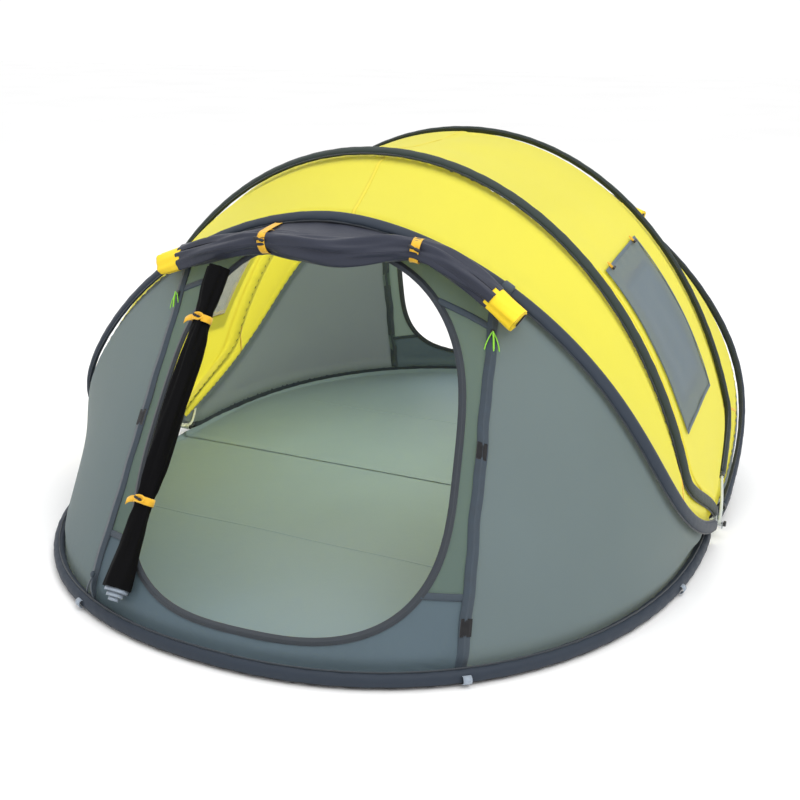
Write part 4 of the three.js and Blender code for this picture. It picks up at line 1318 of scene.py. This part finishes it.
# ---------------------------------------------------------------- floor
def make_floor(end):
    """Half of the tub floor, rising a little where it's sewn into the ground sleeve."""
    columns, rows = 110, 80
    g = HOOPS["ground"]
    x = -FLOOR_HALF_WIDTH * np.cos(math.pi * np.linspace(0, 1, columns))[:, None]
    reach = g["reach"] - FLOOR_INSET - g["widest"]
    half = g["half_width"] - FLOOR_INSET
    edge = g["widest"] + reach * (1 - np.abs(x / half) ** g["power"]) ** (1 / g["power"])
    share = np.linspace(0, 1, rows)[None, :]
    lap = FLOOR_LAP if end == "front" else 0.0
    y = -lap + (edge + lap) * share
    near = np.minimum(edge - y, (half - np.abs(x)) * 2.2)
    hill = 0.0022 * (1 + ripple(x * 2.3, y * 1.9, 44) * ease(y / 0.15)) * ease(near / 0.2)
    z = 0.0032 + hill + 0.013 * ease(1 - near / 0.035)
    z = z + (0.0024 if end == "rear" else 0.0) * ease(1 - y / 0.06)
    points = np.stack([x + 0 * y, -y, z], -1)
    piece = make(f"floor_{end}_cloth", turn(end, points), grid_faces(columns, rows), "floor",
                 points[..., :2])
    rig.ride(piece, f"{end}_half")
    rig.replaces(piece, f"floor_{end}")
    cloth(piece, (np.ptp(points[..., 1]), np.ptp(points[..., 0]), grid_size(points)[2]), held="laid",
          rests_on=[f"ground_sleeve_{end}_cloth"])
    y0 = FLOOR_SEAM  # where two widths of cloth are joined
    x = np.linspace(-0.86, 0.86, 120)
    near = 1 - ease((np.abs(x) - 0.60) / 0.26)
    z = 0.0036 + 0.0022 * (1 + ripple(x * 2.3, x * 0 + y0 * 1.9, 44)) * near
    line = np.stack([x, np.full_like(x, -y0), z], -1)
    offsets = [(-0.006, -0.0012), (-0.004, 0.0008), (0.004, 0.0008), (0.006, -0.0012)]
    points = np.stack([line + np.array([0, dy, dz]) for dy, dz in offsets], 1)
    seam = skin(f"floor_seam_{end}", end, points, "floor", wrap=False)
    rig.ride(seam, f"{end}_half")


# ---------------------------------------------------------------- middle roof and windows
def middle_lift(u, v):
    """Lift of the middle roof, in shares that are the same from either end."""
    slack = 0.005 * ripple(np.abs(u - 0.5) * 6, np.where(u < 0.5, v, 1 - v) * 2, 12)
    return (pucker(middle_roof, u, v, reach=0.07) + hollow(u, v, 0.010)
            + slack * np.sin(math.pi * v))


# corners of a window flap, as share along the front high hoop from the right and share back
FLAP = [(0.150, 0.190), (0.160, 0.745), (0.305, 0.750), (0.295, 0.125)]
WINDOW_IN = 0.16  # the opening is this much smaller than its flap on each side


def hoop_to_panel(t):
    return (t - middle_roof.w[0]) / (middle_roof.w[1] - middle_roof.w[0])


def flap_uv(p, q, inset=0.0):
    """A place on the flap: p 0 at its foot to 1 at its top, q 0 at the front to 1 at the back."""
    p, q = (inset + (1 - 2 * inset) * np.asarray(k, float) for k in (p, q))
    foot_front, foot_back, top_back, top_front = (np.array(c) for c in FLAP)
    t, v = ((1 - p) * ((1 - q) * foot_front[k] + q * foot_back[k])
            + p * ((1 - q) * top_front[k] + q * top_back[k]) for k in (0, 1))
    return hoop_to_panel(t), v


def flap_place(end, p, q, out, inset=0.0):
    """Points over a window; the left-hand one is the right-hand one turned round."""
    u, v = flap_uv(p, q, inset)
    return turn(end, middle_roof.lifted(u, v, middle_lift(u, v) + out)), v


def make_middle_roof():
    m, n = 321, 61
    u, v = np.meshgrid(np.linspace(0, 1, m), np.linspace(0, 1, n), indexing="ij")
    for turned in (False, True):  # grid lines bent to run along the windows' edges
        u, v = fit_window(u, v, turned)
    p = middle_roof.lifted(u, v, middle_lift(u, v))
    keep = ~(in_window(u, v) | in_window(1 - u, 1 - v))
    piece = make("roof_middle_cloth", p, grid_faces(m, n, keep=keep), "yellow",
                 grid_uv(middle_roof(u, v)))
    a, b = tuple(high(0.5)), tuple(high_rear(0.5))
    bend(piece, "front_hoops", "rear_hoops", v, a, b)
    wide, long, area = middle_roof.size()
    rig.sheet(piece, flat=(wide, long), held="stretched", area=min(area, wide * long) * 0.94,
             rests_on=["high_sleeve_front_cloth", "high_sleeve_rear_cloth"])
    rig.replaces(piece, "roof_middle")
    seam, share = seam_strip("roof_seam_middle_1", middle_roof, "front", 0.497, 0.503,
                             middle_lift, "yellow")
    bend(seam, "front_hoops", "rear_hoops", share, a, b)
    for end, side in (("front", "right"), ("rear", "left")):
        make_window(end, side, a, b)


def window_local(u, v):
    """Inverse of flap_uv by a few fixed-point steps: shares up and across the opening."""
    p = np.full_like(u, 0.5)
    q = np.full_like(u, 0.5)
    h = 1e-3
    for _ in range(6):
        fu, fv = flap_uv(p, q, WINDOW_IN)
        pu, pv = flap_uv(p + h, q, WINDOW_IN)
        qu, qv = flap_uv(p, q + h, WINDOW_IN)
        a, b, c, d = (pu - fu) / h, (qu - fu) / h, (pv - fv) / h, (qv - fv) / h
        det = a * d - b * c
        du, dv = u - fu, v - fv
        p, q = p + (d * du - b * dv) / det, q + (a * dv - c * du) / det
    return p, q


def in_window(u, v):
    """Which cells of the grid lie in the right-hand opening."""
    cu = (u[:-1, :-1] + u[1:, 1:]) / 2
    cv = (v[:-1, :-1] + v[1:, 1:]) / 2
    p, q = window_local(cu, cv)
    return (p > 0) & (p < 1) & (q > 0) & (q < 1)


def fit_window(u, v, turned):
    """Moves grid points near an opening's outline onto it."""
    if turned:
        u, v = fit_window(1 - u, 1 - v, False)
        return 1 - u, 1 - v
    p, q = window_local(u, v)
    for _ in range(2):
        for axis, other in ((0, 1), (1, 0)):
            k = [p, q]
            for line in (0.0, 1.0):
                gap = np.abs(k[axis] - line)
                step = 0.022 if axis == 0 else 0.034
                close = (gap < step * 0.5) & (k[other] > -0.05) & (k[other] < 1.05)
                k[axis] = np.where(close, line, k[axis])
            p, q = k
    fu, fv = flap_uv(p, q, WINDOW_IN)
    near = (p > -0.2) & (p < 1.2) & (q > -0.2) & (q < 1.2)
    return np.where(near, fu, u), np.where(near, fv, v)


def make_window(end, side, a, b):
    fold = lambda piece, share: bend(piece, "front_hoops", "rear_hoops",
                                     share if end == "front" else 1 - share, a, b)
    p, q = np.meshgrid(np.linspace(0, 1, 46), np.linspace(0, 1, 40), indexing="ij")
    lift = 0.0045 + 0.004 * np.sin(math.pi * p) * np.sin(math.pi * q) + 0.0012 * ripple(p * 3, q * 3, 5)
    lift = lift + 0.003 * bump(p, 1, 0.08) * np.sin(q * 6 * math.pi) ** 2
    points, v = flap_place(end, p, q, lift)
    flap = make(f"window_flap_{side}_cloth", points, grid_faces(46, 40), "flap", grid_uv(points))
    fold(flap, v)
    cloth(flap, grid_size(points), held="hung", rests_on=["roof_middle_cloth"])
    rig.replaces(flap, f"window_flap_{side}")
    points, v = flap_place(end, p, q, np.full_like(p, -0.004), WINDOW_IN - 0.03)
    net = make(f"window_mesh_{side}_net", points, grid_faces(46, 40), "mesh", grid_uv(points))
    fold(net, v)
    cloth(net, grid_size(points), held="stretched", rests_on=["roof_middle_cloth"])
    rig.replaces(net, f"window_mesh_{side}")
    outline(f"window_rim_{side}", end, WINDOW_IN - 0.022, -0.0025, 0.016, "amber", fold)
    outline(f"flap_hem_{side}", end, 0.006, 0.0062, 0.010, "flap", fold)
    seam_beside_window(end, side, fold)
    for k, q0 in enumerate((0.12, 0.88)):
        flap_toggle(f"flap_{side}_{k + 1}", end, q0, fold)


def outline(name, end, inset, out, width, look, fold):
    """A flat tape round the window."""
    corners = [(0, 0), (0, 1), (1, 1), (1, 0), (0, 0)]
    path = np.concatenate([np.linspace(c, d, 30, endpoint=False) for c, d in zip(corners, corners[1:])])
    rows, shares = [], []
    for grow, rise in ((-width, 0), (-width * 0.9, 0.0011), (width * 0.9, 0.0011), (width, 0),
                       (0, -0.0006)):
        points, v = flap_place(end, path[:, 0], path[:, 1], out + rise, inset + grow)
        rows.append(points)
        shares.append(v)
    points, v = np.stack(rows, 1), np.stack(shares, 1)
    points, v = np.concatenate([points, points[:1]]), np.concatenate([v, v[:1]])
    fold(make(name, points, grid_faces(len(points), 5, wrap=True), look, grid_uv(points)), v)


def seam_beside_window(end, side, fold):
    """The raised seam on the roof between the window and the front high hoop."""
    t = np.linspace(0.085, 0.30, 70)
    v0 = 0.098 - 0.10 * (t - 0.19) + 0.004 * np.sin(t * 60)
    rows, shares = [], []
    for dv, rise in ((-0.010, 0.0004), (-0.007, 0.0028), (0.0, 0.0042), (0.007, 0.0028),
                     (0.010, 0.0004)):
        u, v = hoop_to_panel(t), v0 + dv
        rows.append(turn(end, middle_roof.lifted(u, v, middle_lift(u, v) + rise)))
        shares.append(v)
    points = np.stack(rows, 1)
    fold(make(f"window_seam_{side}", points, grid_faces(70, 5), "yellow", grid_uv(points)),
         np.stack(shares, 1))


def flap_toggle(name, end, q0, fold):
    """A yellow loop and black toggle that hold the flap's top corner."""
    at, v = flap_place("front", np.array([1.0]), np.array([q0]), 0.008)
    below, _ = flap_place("front", np.array([0.90]), np.array([q0]), 0.010)
    at, below, v = at[0], below[0], float(v[0])
    down = unit(below - at)
    u, w = flap_uv(np.array([1.0]), np.array([q0]))
    out = middle_roof.normal(u, w)[0]
    aside = np.cross(down, out)
    loop = [at - down * 0.012 + down * (0.024 * (1 - math.cos(x)) / 2) + aside * 0.006 * math.sin(x)
            + out * 0.002 for x in np.linspace(0, 2 * math.pi, 25)]
    piece = tube(f"{name}_loop", end, loop, 0.0021, "strap", sides=8)
    fold(piece, np.full(len(piece.data.vertices), v))
    bar = toggle(f"{name}_toggle", end, at + down * 0.010 + out * 0.006, aside, 0.026, None, radius=0.004)
    fold(bar, np.full(len(bar.data.vertices), v))


# ---------------------------------------------------------------- small sewn pieces
def make_loops(end):
    """Webbing loops on the ground sleeve for pegs."""
    for k, t in enumerate(PEG_LOOPS):
        at, along = ground(t), ground.along(t)
        out = unit(np.cross(along, UP))
        out = out if np.dot(out[:2], at[:2]) > 0 else -out
        a = np.linspace(-0.5, 3.6, 26)
        line = at + out * (0.0165 + 0.010 * np.sin(np.clip(a, 0, math.pi)))[:, None] + UP * (
            -0.002 + 0.011 * np.cos(a))[:, None]
        line[:, 2] = np.maximum(line[:, 2], 0.004)
        points = ribbon(line, along * 0.022, out * 0.0014)
        piece = skin(f"peg_loop_{end}_{k + 1}", end, points, "tag")
        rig.ride(piece, f"{end}_half")


def foot_strap(end):
    """The short strap and bow at the foot of the left-hand zip."""
    at, across, up, out = wall_axes(door_wall, 0.985, 0.955)
    start = at + out * 0.010 + up * 0.030
    s = np.linspace(0, 1, 20)[:, None]
    for k, (side, length) in enumerate(((-1, 0.055), (0.6, 0.07))):
        line = start - up * length * s + across * side * 0.030 * s**1.6
        line = line + out * 0.008 * np.sin(math.pi * s)
        points = ribbon(line, across * 0.009, out * 0.0013)
        piece = skin(f"foot_strap_{end}_{k + 1}", end, points, "tape")
        on_wall(piece, end, 0.95)
    knot = tube(f"foot_knot_{end}", end, start + up * np.linspace(-0.009, 0.009, 9)[:, None] + out * 0.004,
                0.0075 * np.sin(math.pi * np.linspace(0.12, 0.88, 9)), "tape", sides=12)
    on_wall(knot, end, 0.95)


def hoop_clip(end):
    """A grey moulded clip on the low hoop, above the right-hand zip."""
    at, along = low(0.362), low.along(0.362)
    s = np.linspace(-1, 1, 11)
    profile = 0.0175 + 0.0035 * np.sqrt(np.clip(1 - s**8, 0, 1))
    line = at + along * (s * 0.016)[:, None]
    piece = tube(f"hoop_clip_{end}", end, line, profile, "tape", sides=18)
    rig.ride(piece, f"{end}_hoops")


def corner_tabs(end):
    """Fabric tabs at the foot of the walls and roofs, gathered into the pivots."""
    for side, sign in (("right", 1), ("left", -1)):
        t = 0.020 if sign > 0 else 0.980
        at = (low(t) + ground(t)) / 2
        tip = np.array([sign * 0.962, -0.012, PIVOT_HEIGHT + 0.004])
        s = np.linspace(0, 1, 14)[:, None]
        width = np.linspace(-0.5, 0.5, 7)[None, :]
        centre = at + (tip - at) * s
        across = unit(low(t) - ground(t))
        points = (centre[:, None] + across * (width[..., None] * (0.040 - 0.024 * s)[:, None])
                  + np.array([sign, 0, 0]) * (0.004 + 0.002 * np.cos(width * 12))[..., None])
        piece = skin(f"corner_tab_{end}_{side}", end, points, "grey", wrap=False)
        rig.ride(piece, f"{end}_half")


# ---------------------------------------------------------------- CAD pieces that stay
def dress_hardware():
    for name, node in frame["nodes"].items():
        look = ("rod" if "_pole_" in name else "black" if name.startswith("pivot_pin")
                else "steel" if name.startswith("pivot_ring") else None)
        if look:
            for slot in node.material_slots:
                slot.link = "OBJECT"
                slot.material = MATERIAL[look]


# ---------------------------------------------------------------- the whole tent
for half in ("front", "rear"):
    make_sleeve(half, "ground", ground)
    make_sleeve(half, "low", low)
    make_sleeve(half, "high", high)
    make_walls(half)
    make_side_roof(half)
    make_door_frame(half)
    for hand in ("right", "left"):
        make_zip(half, hand)
    make_door_roll(half)
    make_mesh_roll(half)
    make_floor(half)
    make_loops(half)
    foot_strap(half)
    hoop_clip(half)
    corner_tabs(half)
make_middle_roof()
dress_hardware()


# ---------------------------------------------------------------- studio
def add_lamp(name, place, power, size, aimed=True):
    """A square soft light, aimed at the tent or straight down."""
    data = bpy.data.lights.new(name, "AREA")
    data.energy, data.size = power, size
    lamp = bpy.data.objects.new(name, data)
    scene.collection.objects.link(lamp)
    lamp.location = place
    if aimed:
        to_tent = Vector((0, 0, 0.4)) - lamp.location
        lamp.rotation_euler = to_tent.to_track_quat("-Z", "Y").to_euler()
    return lamp


def make_stage():
    n = Nodes("studio_floor")
    where = n.place(kind="Object")
    n.link(n.ramp(n.noise(where, 0.6), (0.3, rgb(246, 246, 246)), (0.7, rgb(250, 250, 250))),
           n.bsdf.inputs["Base Color"])
    n.bsdf.inputs["Roughness"].default_value = 0.8
    mesh = bpy.data.meshes.new("studio_floor")
    mesh.from_pydata([(-30, -30, 0), (30, -30, 0), (30, 30, 0), (-30, 30, 0)], [], [(0, 1, 2, 3)])
    mesh.materials.append(n.material)
    floor = bpy.data.objects.new("studio_floor", mesh)
    scene.collection.objects.link(floor)
    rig.stage(floor)
    world = bpy.data.worlds.new("studio")
    world.use_nodes = True
    world.node_tree.nodes["Background"].inputs["Color"].default_value = (1, 1, 1, 1)
    world.node_tree.nodes["Background"].inputs["Strength"].default_value = 1.06
    scene.world = world
    add_lamp("key", (3.2, -2.6, 5.2), 120, 3.5)
    add_lamp("top", (0.0, 0.5, 6.0), 60, 5.0)
    inner = add_lamp("inner", (-0.3, 0.1, 1.0), 13, 0.6, aimed=False)  # fills the tent's inside
    inner.visible_camera = False
    scene.view_settings.view_transform = "Standard"


make_stage()

with open("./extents.json", "w") as f:
    json.dump({"cad": [list(c) for c in cad_box], "visual": [list(c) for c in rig.bounds()]}, f)
